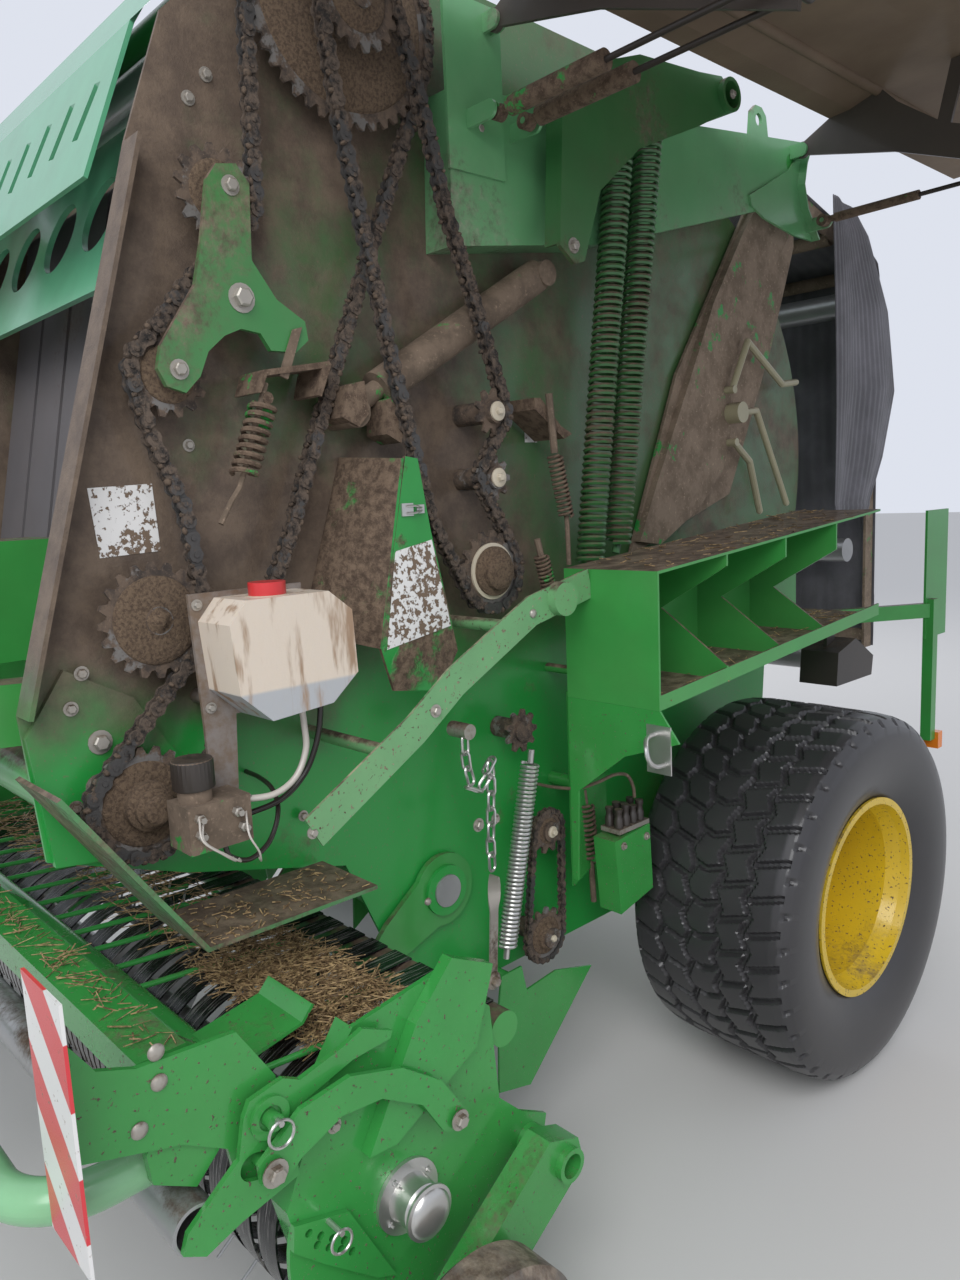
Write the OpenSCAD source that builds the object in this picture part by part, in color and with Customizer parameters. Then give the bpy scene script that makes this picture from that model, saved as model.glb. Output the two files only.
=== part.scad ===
// Round baler, towed, with a variable belt chamber, shown with its left side panel lifted.
// X points to the machine's left, Y to the rear, Z up. Points in pairs are (y, z), in mm,
// measured from the axle line on the ground; in_row() then moves all of it so that the
// middle of the towing eye is the origin.

/* [Chassis] */
// Distance between the outer faces of the two side walls
wall_gauge = 1232; // [1100:2:1300]
// Thickness of a side wall
wall_t = 8; // [5:1:12]
// Radius of the bale chamber
chamber_r = 840; // [780:5:880]
// Distance from the axle forward to the towing eye
eye_reach = 3150; // [3000:10:3400]
// Height of the towing eye above the ground
eye_h = 480; // [400:10:560]
// Bore of the towing eye
eye_bore = 50; // [30:1:60]
// Side of the square axle beam
axle_side = 120; // [90:2:130]

/* [Wheels] */
// Outer diameter of the main tyres
tyre_d = 1030; // [980:5:1060]
// Width of the main tyres
tyre_w = 490; // [420:5:500]
// Diameter of the rim flange
rim_d = 540; // [500:5:560]
// Distance between the middles of the main tyres
track = 2000; // [1980:10:2060]
// Outer diameter of the gauge wheels
gauge_d = 380; // [340:5:390]
// Width of the gauge wheels
gauge_w = 120; // [90:5:130]

/* [Side panels] */
// Length of a side panel
panel_len = 3150; // [2900:10:3200]
// Thickness of a side panel
panel_t = 5; // [3:1:14]
// Angle by which the left panel stands open
panel_open = 70; // [60:1:72]

/* [Pickup] */
// Width between the outer faces of the pickup's side shields
pickup_w = 2160; // [2100:10:2180]
// Radius that the tine tips sweep
tine_r = 285; // [270:5:290]
// Number of stripper bands
bands = 24; // [16:1:26]

/* [Drive] */
// Pitch of the heavy roller chains
chain_pitch = 31.75; // [25:0.05:38]
// Width of the drive input's splined stub
pto_d = 34.9; // [30:0.1:40]
// Length of the drive input's splined stub
pto_len = 85; // [70:1:95]

/* [Hidden] */
$fn = 48;
gap = 0.3;
running_gap = 6;
green = [0.10, 0.50, 0.20];
dusty = [0.45, 0.36, 0.28];
steel = [0.62, 0.63, 0.64];
black = [0.07, 0.07, 0.07];
yellow = [0.90, 0.72, 0.10];
wall_x = wall_gauge / 2;
tyre_r = tyre_d / 2;
hub_x = track / 2;
chamber = [-150, 1750];
// Places of the pivots
panel_hinge = [740, 2700];
gate_hinge = [470, 2668];
reel = [-1560, 430];
wind_hinge = [-1830, 735];
rotor = [-1060, 720];
gauge = [-1550, gauge_d / 2 + 3];
boss_r = 62;
stub_r = 40;
// Radius of the pickup's cross tube
cross_r = 36;
// Where the towing eye's neck ends inside the drawbar's head
head_y = -2990;
bearing_t = 14;
gate_pin = 28;
gate_pin_x = 702;
// Outer face of the top beams
beam_out = 704;
// Chains: planes along X, width and height of a band, height of a tooth
chain_a = 668;
chain_b = 726;
chain_c = 700;
chain_w = 24;
chain_h = 24;
tooth_h = 15;
// Inner faces of the tensioner's lever, the oil tank and the belt cranks
lever_x = 705;
tank_x = 752;
crank_x = 786;
spring_x = 745;
spring_r = 38;
// Twine boxes: inner and outer x, front and rear y, front floor height, its rise, height inside
box_in = 830;
box_out = 1100;
box_y = [-805, 275];
box_z = 1182;
box_rise = 88;
box_h = 310;
// Gate
gate_x = wall_x + running_gap;
gate_line = [[600, 2648], [1250, 2480], [1250, 1000]];
bow_x = gate_x + 53;
// Side panels: profile as (x, z) from the hinge, a raised bead on it, and their two arms
panel_line = [[92, -60], [120, -120], [180, -200], [270, -400], [410, -800], [490, -1200], [505, -1480]];
bead = [176, -188];
bead_r = 16;
arm_places = [-870, 480];
arm_t = 12;
lug_t = 8;
hinge_pin = 10;
// Gas struts: foot on the frame and eye on the arm as (x, z), then sizes
strut_foot = [780, 2490];
strut_eye_shut = [795, 1965];
strut_pin = 7;
eye_half = 14;
barrel_len = 300;
rod_r = 6.5;
// Each strut: its y, the radius of its barrel, and the side of it on which its lug stands
struts = [[arm_places[0] - 45, 21, -1], [arm_places[0] + 45, 21, 1], [arm_places[1] + 60, 14, 1]];
// Pickup: outer face of a side shield, width of the bands, inner radius of a band
shield_x = pickup_w / 2;
band_span = pickup_w - 80;
band_r = 234;
gauge_x = shield_x + 183;
bumper_at = [1020, -2050, 702];
bumper_r = 32;
bumper_bend = 120;
// Places of the wind guard's rods along X, none of them under the drip tray
guard_rods = concat([for (i = [-5:5]) i * 116], [-1000, -880, 880, 1000]);

// Moves the machine so that the towing eye is the origin
module in_row() translate([0, eye_reach, -eye_h]) children();

// Both sides of the machine
module sides() {
    children();
    mirror([1, 0, 0]) children();
}

// A plate with its outline in (y, z), from x0 to x1
module plate(pts, x0, x1) {
    translate([x0, 0, 0]) rotate([90, 0, 90]) linear_extrude(x1 - x0) polygon(pts);
}

// The same for any flat child drawn in (y, z)
module slab(x0, x1) {
    translate([x0, 0, 0]) rotate([90, 0, 90]) linear_extrude(x1 - x0) children();
}

// A round bar along X at (y, z)
module bar(at, x0, x1, r) {
    translate([x0, at[0], at[1]]) rotate([0, 90, 0]) cylinder(r = r, h = x1 - x0);
}

// A tube along X at (y, z)
module pipe(at, x0, x1, r, bore) {
    difference() {
        bar(at, x0, x1, r);
        bar(at, x0 - 1, x1 + 1, bore);
    }
}

// A round rod between two points in space
module rod(a, b, r) {
    d = b - a;
    len = norm(d);
    translate(a) rotate([0, acos(d[2] / len), atan2(d[1], d[0])]) cylinder(r = r, h = len);
}

// A flat bar of width w from p to q with round ends, drawn in (y, z)
module link2d(p, q, w) {
    d = q - p;
    a = atan2(d[1], d[0]);
    polygon(concat(
        [for (t = [-90:15:90]) q + w / 2 * [cos(a + t), sin(a + t)]],
        [for (t = [90:15:270]) p + w / 2 * [cos(a + t), sin(a + t)]]
    ));
}

// Outline of a bent strip: the path moved sideways by t0 on one edge and t1 on the other
function side_of(p, q) = [p[1] - q[1], q[0] - p[0]] / norm(q - p);
function mitre(pts, i) =
    let (last = len(pts) - 1,
        n1 = side_of(pts[max(i - 1, 0)], pts[max(i, 1)]),
        n2 = side_of(pts[min(i, last - 1)], pts[min(i + 1, last)]))
    (n1 + n2) * 2 / ((n1 + n2) * (n1 + n2));
function strip(pts, t0, t1) = concat(
    [for (i = [0:len(pts) - 1]) pts[i] + mitre(pts, i) * t0],
    [for (i = [len(pts) - 1:-1:0]) pts[i] + mitre(pts, i) * t1]
);

// A square bar from a to b
module beam(a, b, w, h) {
    d = b - a;
    len = norm(d);
    translate(a) rotate([0, -asin(d[2] / len), atan2(d[1], d[0])])
        translate([0, -w / 2, -h / 2]) cube([len, w, h]);
}

// Side walls
wall_low = [
    [-1600, 2560], [-1690, 2320], [-1980, 1330], [-1960, 1060], [-1700, 960], [-1330, 860],
    [-1200, 560], [-900, 430], [-300, 430], [300, 430], [420, 620], [480, 1250], [0, 1700],
    [100, 2560], [0, 2800], [-1000, 2820], [-1400, 2760]
];

module wall2d() {
    polygon(wall_low);
    translate(chamber) circle(chamber_r, $fn = 96);
}

module side_walls() color(green) in_row() sides() {
    slab(wall_x - wall_t, wall_x) difference() {
        wall2d();
        translate(rotor) circle(stub_r + gap);
        translate([0, tyre_r]) square(axle_side + 2 * gap, center = true);
    }
    pipe(rotor, wall_x, wall_x + 30, boss_r, stub_r + gap);
    // front flange, then the bearing plate below it
    plate([[-1690, 2320], [-1980, 1330], [-1972, 1328], [-1682, 2318]], wall_x, wall_x + 58);
    plate([[-1975, 1290], [-1900, 1400], [-1780, 1330], [-1690, 1180], [-1730, 1020], [-1950, 1050]],
        wall_x - 1, wall_x + bearing_t);
}

// Cross tubes between the walls
cross_tubes = [[-1480, 2630, 42], [-700, 2760, 40], [-60, 2700, 40], [-1880, 1150, 50], [-300, 520, 45]];

module frame_tubes() color(green) in_row() {
    for (t = cross_tubes)
        bar([t[0], t[1]], gap - wall_x + wall_t, wall_x - wall_t - gap, t[2]);
    bar(gate_hinge, -gate_pin_x, gate_pin_x, gate_pin - gap);
}

// Hollowed rear edge of the gusset at the beam's rear end
gusset_edge = [[550, 2740], [515, 2670], [500, 2605], [525, 2535], [600, 2450]];

// Longitudinal beams along the top of each wall

module top_beams() color(green) in_row() sides() {
    plate([[-1000, 2218], [-985, 2548], [-480, 2615], [-480, 2292]], wall_x + gap, beam_out);
    slab(beam_out - 36, beam_out) difference() {
        polygon([[-480, 2292], [-480, 2615], [575, 2750], [520, 2640], [330, 2510]]);
        translate(gate_hinge) circle(gate_pin);
    }
    // gussets that carry the panel's hinges and the feet of the struts
    slab(beam_out, beam_out + 8) {
        polygon(concat(gusset_edge, [[485, 2450], [300, 2475], [225, 2500], [215, 2530], [300, 2570],
            [450, 2645]]));
        polygon([[-1000, 2380], [-1000, 2740], [-830, 2740], [-830, 2380]]);
    }
    plate(strip(gusset_edge, -3, 3), beam_out, beam_out + 32);
    // lifting lug
    slab(beam_out - 10, beam_out) difference() {
        polygon([[225, 2690], [235, 2775], [260, 2795], [295, 2795], [320, 2775], [335, 2705]]);
        translate([278, 2757]) circle(18);
    }
    for (y = arm_places, side = [-1, 1])
        translate([0, y + side * (arm_t / 2 + 1 + lug_t / 2), 0]) lug(panel_hinge);
    for (s = struts)
        translate([0, s[0] + s[2] * (s[1] + 1 + lug_t / 2), 0]) lug(strut_foot);
    for (y = arm_places)
        translate([panel_hinge[0], y, panel_hinge[1]]) rotate([90, 0, 0])
            cylinder(r = hinge_pin, h = arm_t + 2 * lug_t + 2, center = true);
    for (s = struts)
        translate([strut_foot[0], s[0], strut_foot[1]]) rotate([s[2] * -90, 0, 0])
            translate([0, 0, -eye_half]) cylinder(r = strut_pin, h = eye_half + s[1] + 1 + lug_t);
}

// A lug that stands out from the beam to a pin along Y at (x, z)
module lug(at) {
    translate([0, lug_t / 2, 0]) rotate([90, 0, 0]) linear_extrude(lug_t) {
        translate(at) circle(20);
        translate([beam_out - 1, at[1] - 20]) square([at[0] - beam_out + 1, 40]);
    }
}

// Channel with round holes across the front, in front of the belts
module hole_beam() color(green) in_row() {
    span = wall_x - wall_t - gap;
    difference() {
        plate([[-1655, 2120], [-1640, 2118], [-1505, 2478], [-1440, 2478], [-1440, 2486],
            [-1514, 2486]], -span, span);
        for (i = [-2:2])
            translate([i * 235, -1580, 2300]) rotate([70, 0, 0]) cylinder(r = 84, h = 200, center = true);
    }
}

// Slotted guard over the front
module front_guard() color(green) in_row() {
    span = 500;
    difference() {
        plate([[-1722, 2285], [-1714, 2282], [-1595, 2580], [-1520, 2700], [-1528, 2704],
            [-1603, 2584]], -span, span);
        for (i = [-3:3])
            translate([i * 130, -1655, 2430]) rotate([22, 20, 0]) cube([34, 80, 190], center = true);
    }
    sides() plate([[-1603, 2584], [-1528, 2704], [-1470, 2712], [-1500, 2690]], span + gap, span + 105);
}

// Belts over the front and round the chamber
module belts() color([0.35, 0.35, 0.37]) in_row() {
    for (i = [-2.5:1:2.5])
        slab(i * 196 - 88, i * 196 + 88) difference() {
            belt2d(8);
            belt2d(0);
        }
}

module belt2d(t) {
    hull() {
        translate([-1400, 2400]) circle(50 + t, $fn = 32);
        translate([-1590, 1420]) circle(60 + t, $fn = 32);
        translate([-1290, 1120]) circle(60 + t, $fn = 32);
    }
}

// Steel rollers across the chamber
rollers = [[-1500, 2545, 42], [-1400, 2400, 50], [-1590, 1420, 60], [-1290, 1120, 60], [-1150, 1010, 60],
    [-560, 640, 70], [-820, 2640, 50]];

module chamber_rollers() color(steel) in_row() {
    for (r = rollers)
        bar([r[0], r[1]], gap - wall_x + wall_t, wall_x - wall_t - gap, r[2] - gap);
}

// Axle beam with its stub ends and hub flanges
module axle() color(green) in_row() {
    translate([-700, -axle_side / 2, tyre_r - axle_side / 2]) cube([1400, axle_side, axle_side]);
    sides() bar([0, tyre_r], 700, hub_x + 18, 38);
}

// Drawbar with its towing eye
module drawbar() color(green) in_row() {
    sides() {
        beam([440, -1700, 1290], [330, -2260, 1310], 80, 120);
        beam([335, -2230, 1300], [60, -2960, eye_h + 80], 80, 120);
    }
    difference() {
        union() {
            translate([-100, head_y - 30, eye_h - 40]) cube([200, 170, 130]);
            translate([0, -eye_reach, eye_h - 22]) cylinder(r = 62, h = 44);
            translate([-35, -eye_reach, eye_h - 22]) cube([70, eye_reach + head_y, 44]);
        }
        translate([0, -eye_reach, eye_h - 60]) cylinder(d = eye_bore, h = 120);
    }
    translate([gap + wall_t - wall_x, -1760, 1230]) cube([2 * (wall_x - wall_t - gap), 90, 120]);
    bar([jack[1], 880], 190, jack[0] - 40 - gap, 30);
}

// Gearbox with its input stub
module gearbox() color(green) in_row() {
    translate([-150, -1950, 1360]) cube([300, 260, 260]);
    translate([0, -1950, 1490]) rotate([90, 0, 0]) cylinder(d = pto_d, h = pto_len);
}

// Jack on the drawbar's left side
jack = [300, -2620];

module jack_tube() color(steel) in_row() {
    translate([jack[0], jack[1], 0]) difference() {
        translate([-40, -40, 300]) cube([80, 80, 620]);
        translate([-32, -32, 290]) cube([64, 64, 600]);
    }
}

module jack_leg() color(steel) in_row() {
    translate([jack[0], jack[1], 0]) {
        translate([-28, -28, 20]) cube([56, 56, 590]);
        translate([-90, -90, 0]) cube([180, 180, 20]);
    }
}

// Sprockets on the left side: y, z, root radius, x of the teeth, outer end of the hub
sprocket_list = [
    [-1235, 2650, 215, chain_a, 700], [-1240, 2645, 85, chain_b, 745], [-1740, 1472, 92, chain_a, 684],
    [-1795, 1138, 92, chain_a, 700], [-1545, 2245, 70, chain_a, lever_x - gap],
    [-1675, 1912, 62, chain_a, lever_x - gap], [-920, 1860, 38, chain_b, 745],
    [-925, 1710, 38, chain_b, 745], [-945, 1495, 80, chain_b, 750], [-755, 800, 45, chain_c, 716],
    [-780, 520, 60, chain_c, 730], [-840, 1085, 40, chain_c, 712]
];

// Points where a chain lies on sprocket i, from angle a0 to a1
function wrap(i, a0, a1) = [for (k = [0:5])
    let (s = sprocket_list[i], a = a0 + (a1 - a0) * k / 5)
    [s[0], s[1]] + (s[2] + 8) * [cos(a), sin(a)]
];

// Chains: x of the plane and the closed line that each follows
chain_list = [
    [chain_a, concat(wrap(0, -32, 188), wrap(4, -1, -35), [[-1615, 2085]], wrap(5, 115, 205),
        [[-1715, 1795], [-1665, 1670]], wrap(2, 22, -45), wrap(3, 158, 318),
        [[-1445, 1610], [-1320, 1920]])],
    [chain_b, concat(wrap(1, 16, 188), [[-1300, 2405], [-1205, 1960], [-1120, 1625]], wrap(8, 215, 395),
        wrap(7, 190, 130), wrap(6, -55, 15), [[-945, 2060], [-1035, 2285], [-1080, 2455]])],
    [chain_c, concat(wrap(9, 10, 170), wrap(10, 188, 352))]
];

// A closed line moved sideways by t
function ring_at(pts, t) = let (n = len(pts)) [
    for (i = [0:n - 1])
        let (n1 = side_of(pts[(i + n - 1) % n], pts[i]), n2 = side_of(pts[i], pts[(i + 1) % n]))
        pts[i] + t * (n1 + n2) * 2 / ((n1 + n2) * (n1 + n2))
];

module drive_chains() color(dusty) in_row() {
    for (c = chain_list)
        difference() {
            slab(c[0] - chain_w / 2, c[0] + chain_w / 2) difference() {
                polygon(ring_at(c[1], -chain_h / 2));
                polygon(ring_at(c[1], chain_h / 2));
            }
            for (s = sprocket_list)
                if (s[3] == c[0])
                    slab(c[0] - 4 - gap, c[0] + 4 + gap)
                        translate([s[0], s[1]]) circle(s[2] + tooth_h + gap);
        }
}

// One tooth as (share of the tooth's angle, height above the root)
tooth = [[-0.38, 0], [-0.14, tooth_h], [0.14, tooth_h], [0.38, 0]];

// A toothed disc at (y, z) with one tooth for each pitch of chain
module toothed(at, r, x0, x1) {
    n = round(2 * PI * (r + 8) / chain_pitch);
    slab(x0, x1) translate(at) polygon([
        for (i = [0:n - 1], p = tooth) (r + p[1]) * [cos((i + p[0]) * 360 / n), sin((i + p[0]) * 360 / n)]
    ]);
}

module sprockets() color(dusty) in_row() {
    for (s = sprocket_list) {
        toothed([s[0], s[1]], s[2], s[3] - 4, s[3] + 4);
        seat = s[0] < -1790 ? bearing_t : 0;
        bar([s[0], s[1]], wall_x + seat + gap, s[4], 26);
    }
}

// Outline of the tensioner's lever: top arm, hook to the rear, bottom arm
tensioner_line = [
    [-1590, 2250], [-1570, 2278], [-1530, 2285], [-1505, 2255], [-1512, 2120], [-1465, 2055], [-1405, 2020],
    [-1400, 1985], [-1430, 1960], [-1485, 1960], [-1505, 1990], [-1545, 1995], [-1580, 1980], [-1615, 1950],
    [-1635, 1905], [-1665, 1875], [-1700, 1885], [-1715, 1915], [-1705, 1955], [-1630, 2065], [-1610, 2145]
];

module chain_tensioner() color(green) in_row() {
    plate(tensioner_line, lever_x, lever_x + 12);
    bar([-1530, 2050], wall_x + gap, lever_x, 22);
}

// Oil tank on a bracket
module oil_tank() color([0.85, 0.82, 0.74]) in_row() {
    plate([[-1690, 1345], [-1700, 1470], [-1665, 1510], [-1495, 1510], [-1445, 1470], [-1440, 1350],
        [-1500, 1300], [-1630, 1290]], tank_x, tank_x + 116);
    // bracket that carries the tank and, lower down, the pump
    plate([[-1705, 1290], [-1715, 1520], [-1480, 1520], [-1480, 1290], [-1640, 1290], [-1650, 1110],
        [-1700, 1110]], tank_x - 8, tank_x);
    for (p = [[-1650, 1310], [-1520, 1320]])
        bar(p, wall_x + gap, tank_x - 8, 14);
}

module oil_cap() color([0.8, 0.1, 0.1]) in_row() {
    translate([tank_x + 60, -1590, 1510 + gap]) cylinder(r = 34, h = 24);
}

module oil_pump() color(steel) in_row() {
    translate([tank_x + gap, -1790, 1075]) cube([82, 120, 85]);
    translate([tank_x + 40, -1755, 1160]) cylinder(r = 30, h = 25);
    translate([tank_x + 40, -1755, 1185]) cylinder(r = 36, h = 50);
}

// Tray below the lower sprocket
module drip_tray() color(green) in_row() {
    plate([[-2000, 1226], [-1775, 892], [-1400, 888], [-1400, 896], [-1770, 900], [-1992, 1230]],
        wall_x + bearing_t + gap, 830);
}

module label_shield() color(green) in_row() {
    plate([[-1242, 1757], [-1332, 1370], [-1305, 1280], [-1180, 1260], [-1125, 1340], [-1185, 1605],
        [-1210, 1752]], 793, 801);
    hull() {
        plate([[-1245, 1753], [-1252, 1753], [-1334, 1372], [-1327, 1372]], 794, 800);
        plate([[-1270, 1765], [-1277, 1765], [-1400, 1400], [-1393, 1400]], wall_x + gap, 622);
    }
}

// Belt tension cylinders, springs and cranks
module tension_cylinders() color(dusty) in_row() sides() {
    rod([664, -1285, 1855], [664, -1200, 1905], 22);
    rod([664, -1200, 1905], [664, -690, 2198], 40);
    bar([-1285, 1855], wall_x + gap, 706, 34);
    bar([-690, 2198], wall_x + gap, 706, 30);
}

// Tension springs: y and z of the upper end, then of the lower end
spring_ends = [[-455, 2512, -610, 1480], [-329, 2574, -497, 1530]];

module tension_springs() color(green) in_row() sides() {
    for (s = spring_ends) {
        rod([spring_x, s[0], s[1]], [spring_x, s[2], s[3]], spring_r);
        bar([s[0], s[1]], spring_x, crank_x - gap, 12);
        bar([s[2], s[3]], wall_x + gap, spring_x, 14);
    }
}

module crank_plates() color(green) in_row() sides() {
    slab(crank_x, crank_x + 12) difference() {
        polygon([[-745, 2235], [-725, 2530], [-680, 2595], [-585, 2670], [-430, 2725], [-175, 2748],
            [-70, 2763], [-5, 2728], [-40, 2680], [-175, 2615], [-440, 2505], [-595, 2380],
            [-660, 2210], [-695, 2200]]);
        translate([-45, 2718]) circle(34);
    }
    // rolled edge along its front and top
    plate(strip([[-741, 2240], [-721, 2530], [-678, 2591], [-584, 2666], [-430, 2721]], -4, 4),
        crank_x - 38, crank_x + 1);
    pipe([-45, 2718], wall_x + gap, crank_x + 29, 44, 34);
}

module guard_bars() color(green) in_row() {
    line = [[-1590, 1080], [-1340, 1222], [-1230, 1300], [-1000, 1418], [box_y[0] - gap, 1460]];
    difference() {
        plate(strip(line, -34, 34), 905, 911);
        translate([900, box_y[0] - gap, 1300]) cube([20, 100, 300]);
    }
    for (p = [[-1400, 1186], [-1060, 1390]])
        bar(p, wall_x + gap, 907, 14);
    bar([-915, 1436], 905, 935, 38);
}

// A point of the twine box: t along it from 0 to 1, h above its floor
function box_at(t, h) = [box_y[0] + t * (box_y[1] - box_y[0]), box_z + t * box_rise + h];

module twine_boxes() color(green) in_row() sides() {
    difference() {
        plate([box_at(0, 0), box_at(1, 0), box_at(1, box_h), box_at(0, box_h)], box_in, box_out);
        for (i = [0:3])
            plate([box_at(i / 4, 6) + [6, 0], box_at((i + 1) / 4, 6), box_at((i + 1) / 4, box_h - 6),
                box_at(i / 4, box_h - 6) + [6, 0]], box_in + 5, box_out + 1);
        // the dividers are cut back in a V behind the front panel
        translate([0, box_y[0] + 30, 0]) rotate([90, 0, 0]) mirror([0, 0, 1]) linear_extrude(1100)
            polygon([[box_out + 1, box_z + 60], [box_out + 1, box_z + 300], [box_out - 190, box_z + 190]]);
    }
    // lip along the outer edge of the floor
    plate([box_at(0, 0), box_at(1, 0), box_at(1, 34), box_at(0, 34)], box_out - 5, box_out);
    for (t = [0.15, 0.85])
        bar(box_at(t, 12), wall_x + gap, box_in + 2, 12);
}

module wheel_fenders() color(green) in_row() sides() {
    // plate across the front of the wheel, hung below the twine box
    translate([0, box_y[0] + 6, 0]) rotate([90, 0, 0]) linear_extrude(6)
        polygon([[box_in, box_z - gap], [1100, box_z - gap], [1150, 1115], [1000, 1062], [855, 950],
            [845, 720], [box_in, 720]]);
    // plate behind it, and the couplers' cover that stands on it
    plate([[-700, 1165], [-560, 1172], [-560, 700], [-700, 640]], 730, 738);
    bar([-640, 900], wall_x + gap, 731, 18);
    plate([[-670, 590], [-690, 790], [-545, 800], [-535, 620]], 800, 870);
    bar([-620, 700], 737, 801, 16);
    // guard below the drive
    plate([[-1000, 415], [-985, 500], [-915, 500], [-900, 430], [-790, 440], [-650, 400], [-900, 170],
        [-1010, 200]], 740, 746);
    bar([-950, 480], wall_x + gap, 741, 12);
}

module lamp_posts() color(green) in_row() sides() {
    translate([965, 930, 730]) cube([36, 40, 510]);
    translate([969, 920, 1100]) cube([8, 180, 450]);
    translate([wall_x + gap, 375, 1170]) cube([30, 60, 60]);
    beam([wall_x + 20, 400, 1200], [983, 950, 1200], 30, 50);
}

module rear_lamps() color([0.9, 0.35, 0.05]) in_row() sides() {
    translate([953, 970 + gap, 695]) cube([60, 36, 60]);
}

module wheel_chock() color(black) in_row() {
    plate([[180, 1060], [190, 1160], [300, 1190], [420, 1120], [410, 1060]], 900, 1020);
    plate([[225, 1150], box_at(0.953, -gap), box_at(1, -gap), [275, 1150]], 955, 965);
}

// Gate: side frames, arms and cross tubes
module gate_frame() color(green) in_row() {
    sides() {
        slab(gate_x, gate_x + 10) difference() {
            union() {
                polygon([[380, 2600], [420, 2720], [620, 2640], [620, 2450], [480, 2120], [220, 1640],
                    [-300, 1480], [-60, 2000]]);
                polygon(strip(gate_line, -60, 0));
            }
            translate(gate_hinge) circle(gate_pin + gap);
        }
        // pressed arm that stands proud of the plate
        plate([[345, 2525], [270, 2440], [105, 2215], [-30, 1970], [-190, 1690], [-280, 1520], [-180, 1505],
            [15, 1600], [150, 1715], [210, 1870], [185, 1990], [270, 2150], [420, 2315], [590, 2520]],
            gate_x + 9, gate_x + 32);
    }
    for (p = [[1215, 2440], [1215, 1050], [900, 2520]])
        bar(p, -gate_x, gate_x, 24);
}

module gate_curtain() color(black) in_row() {
    plate(strip(gate_line, gap, 8), -gate_x - 20, gate_x + 20);
}

module gate_rollers() color(steel) in_row() {
    for (p = [[1000, 2300], [1060, 1400], [800, 1020]])
        bar(p, gap - gate_x, gate_x - gap, 45);
}

// Bent tubes beside the gate's arm, each as a list of (y, z)
bow_list = [[[170, 1960], [260, 2110], [470, 1990], [560, 2000]], [[190, 1890], [310, 1900], [500, 1600]],
    [[180, 1800], [270, 1740], [330, 1580]]];

module gate_bows() color(green) in_row() sides() {
    for (line = bow_list, i = [0:len(line) - 2])
        hull() {
            translate([bow_x, line[i][0], line[i][1]]) sphere(11, $fn = 10);
            translate([bow_x, line[i + 1][0], line[i + 1][1]]) sphere(11, $fn = 10);
        }
    bar([190, 1890], gate_x + 32 + gap, gate_x + 80, 32);
    for (p = [[170, 1960], [180, 1800]])
        bar(p, gate_x + 32 + gap, gate_x + 64, 12);
}

function panel_x(z) = lookup(z, [for (p = panel_line) [p[1], p[0]]]);

// Side panels, drawn shut
module panel_shell() {
    front = -1700;
    translate([panel_hinge[0], front + panel_len, panel_hinge[1]]) rotate([90, 0, 0]) {
        linear_extrude(panel_len) polygon(concat(panel_line,
            [for (i = [len(panel_line) - 1:-1:0]) panel_line[i] + [panel_t, 3]]));
        translate([bead[0], bead[1], 30]) cylinder(r = bead_r, h = panel_len - 60);
    }
}

module panel_arms() {
    for (y = arm_places) {
        translate([panel_hinge[0], y + arm_t / 2, panel_hinge[1]]) rotate([90, 0, 0])
            linear_extrude(arm_t) difference() {
                union() {
                    circle(24);
                    polygon([[0, 24], [panel_line[0][0] - gap, panel_line[0][1]],
                        panel_line[1] - [gap, 0], panel_line[2] - [gap, 0], [150, -260], [110, -400],
                        [panel_x(-380) - gap, -380], [panel_x(-420) - gap, -420], [105, -440],
                        [95, -740], [15, -760], [20, -300], [-12, -24]]);
                }
                circle(hinge_pin + gap);
                translate(bead) circle(bead_r + gap);
            }
    for (s = struts) {
        arm = s[0] < 0 ? arm_places[0] : arm_places[1];
        way = s[0] < arm ? -1 : 1;
        y = [arm + way * arm_t / 2, s[0] - way * (eye_half + gap)];
        disc_y(strut_eye_shut, min(y), max(y), strut_pin);
    }
    }
}

module swing_left() {
    translate([panel_hinge[0], 0, panel_hinge[1]]) rotate([0, -panel_open, 0])
        translate([-panel_hinge[0], 0, -panel_hinge[1]]) children();
}

module panel_left() color(dusty) in_row() swing_left() panel_shell();
module panel_right() color(green) in_row() mirror([1, 0, 0]) panel_shell();
module panel_arms_left() color(steel) in_row() swing_left() panel_arms();
module panel_arms_right() color(steel) in_row() mirror([1, 0, 0]) panel_arms();

// Gas struts between the frame and the panel's arms
function turn(p, a) = [
    panel_hinge[0] + (p[0] - panel_hinge[0]) * cos(a) - (p[1] - panel_hinge[1]) * sin(a),
    panel_hinge[1] + (p[0] - panel_hinge[0]) * sin(a) + (p[1] - panel_hinge[1]) * cos(a)
];
strut_eye_open = turn(strut_eye_shut, panel_open);

// A disc with its axis along Y at (x, z), from y0 to y1
module disc_y(at, y0, y1, r) {
    translate([at[0], y1, at[1]]) rotate([90, 0, 0]) cylinder(r = r, h = y1 - y0);
}

module strut_barrel(eye) {
    u = (eye - strut_foot) / norm(eye - strut_foot);
    // the foot's eye, then a neck, then the barrel with its bore
    turn_to(strut_foot, u) for (s = struts) difference() {
        translate([0, s[0], 0]) {
            rotate([90, 0, 0]) cylinder(r = 18, h = 2 * eye_half, center = true);
            cylinder(r = 10, h = 50);
            translate([0, 0, 40]) cylinder(r = s[1], h = barrel_len - 40);
        }
        translate([0, s[0], 0]) {
            rotate([90, 0, 0]) cylinder(r = strut_pin + gap, h = 60, center = true);
            translate([0, 0, 60]) cylinder(r = rod_r + gap, h = barrel_len);
        }
    }
}

// Moves what is drawn along Z at the origin to (x, z), pointing along u
module turn_to(at, u) {
    translate([at[0], 0, at[1]]) rotate([0, atan2(u[0], u[1]), 0]) children();
}

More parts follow.
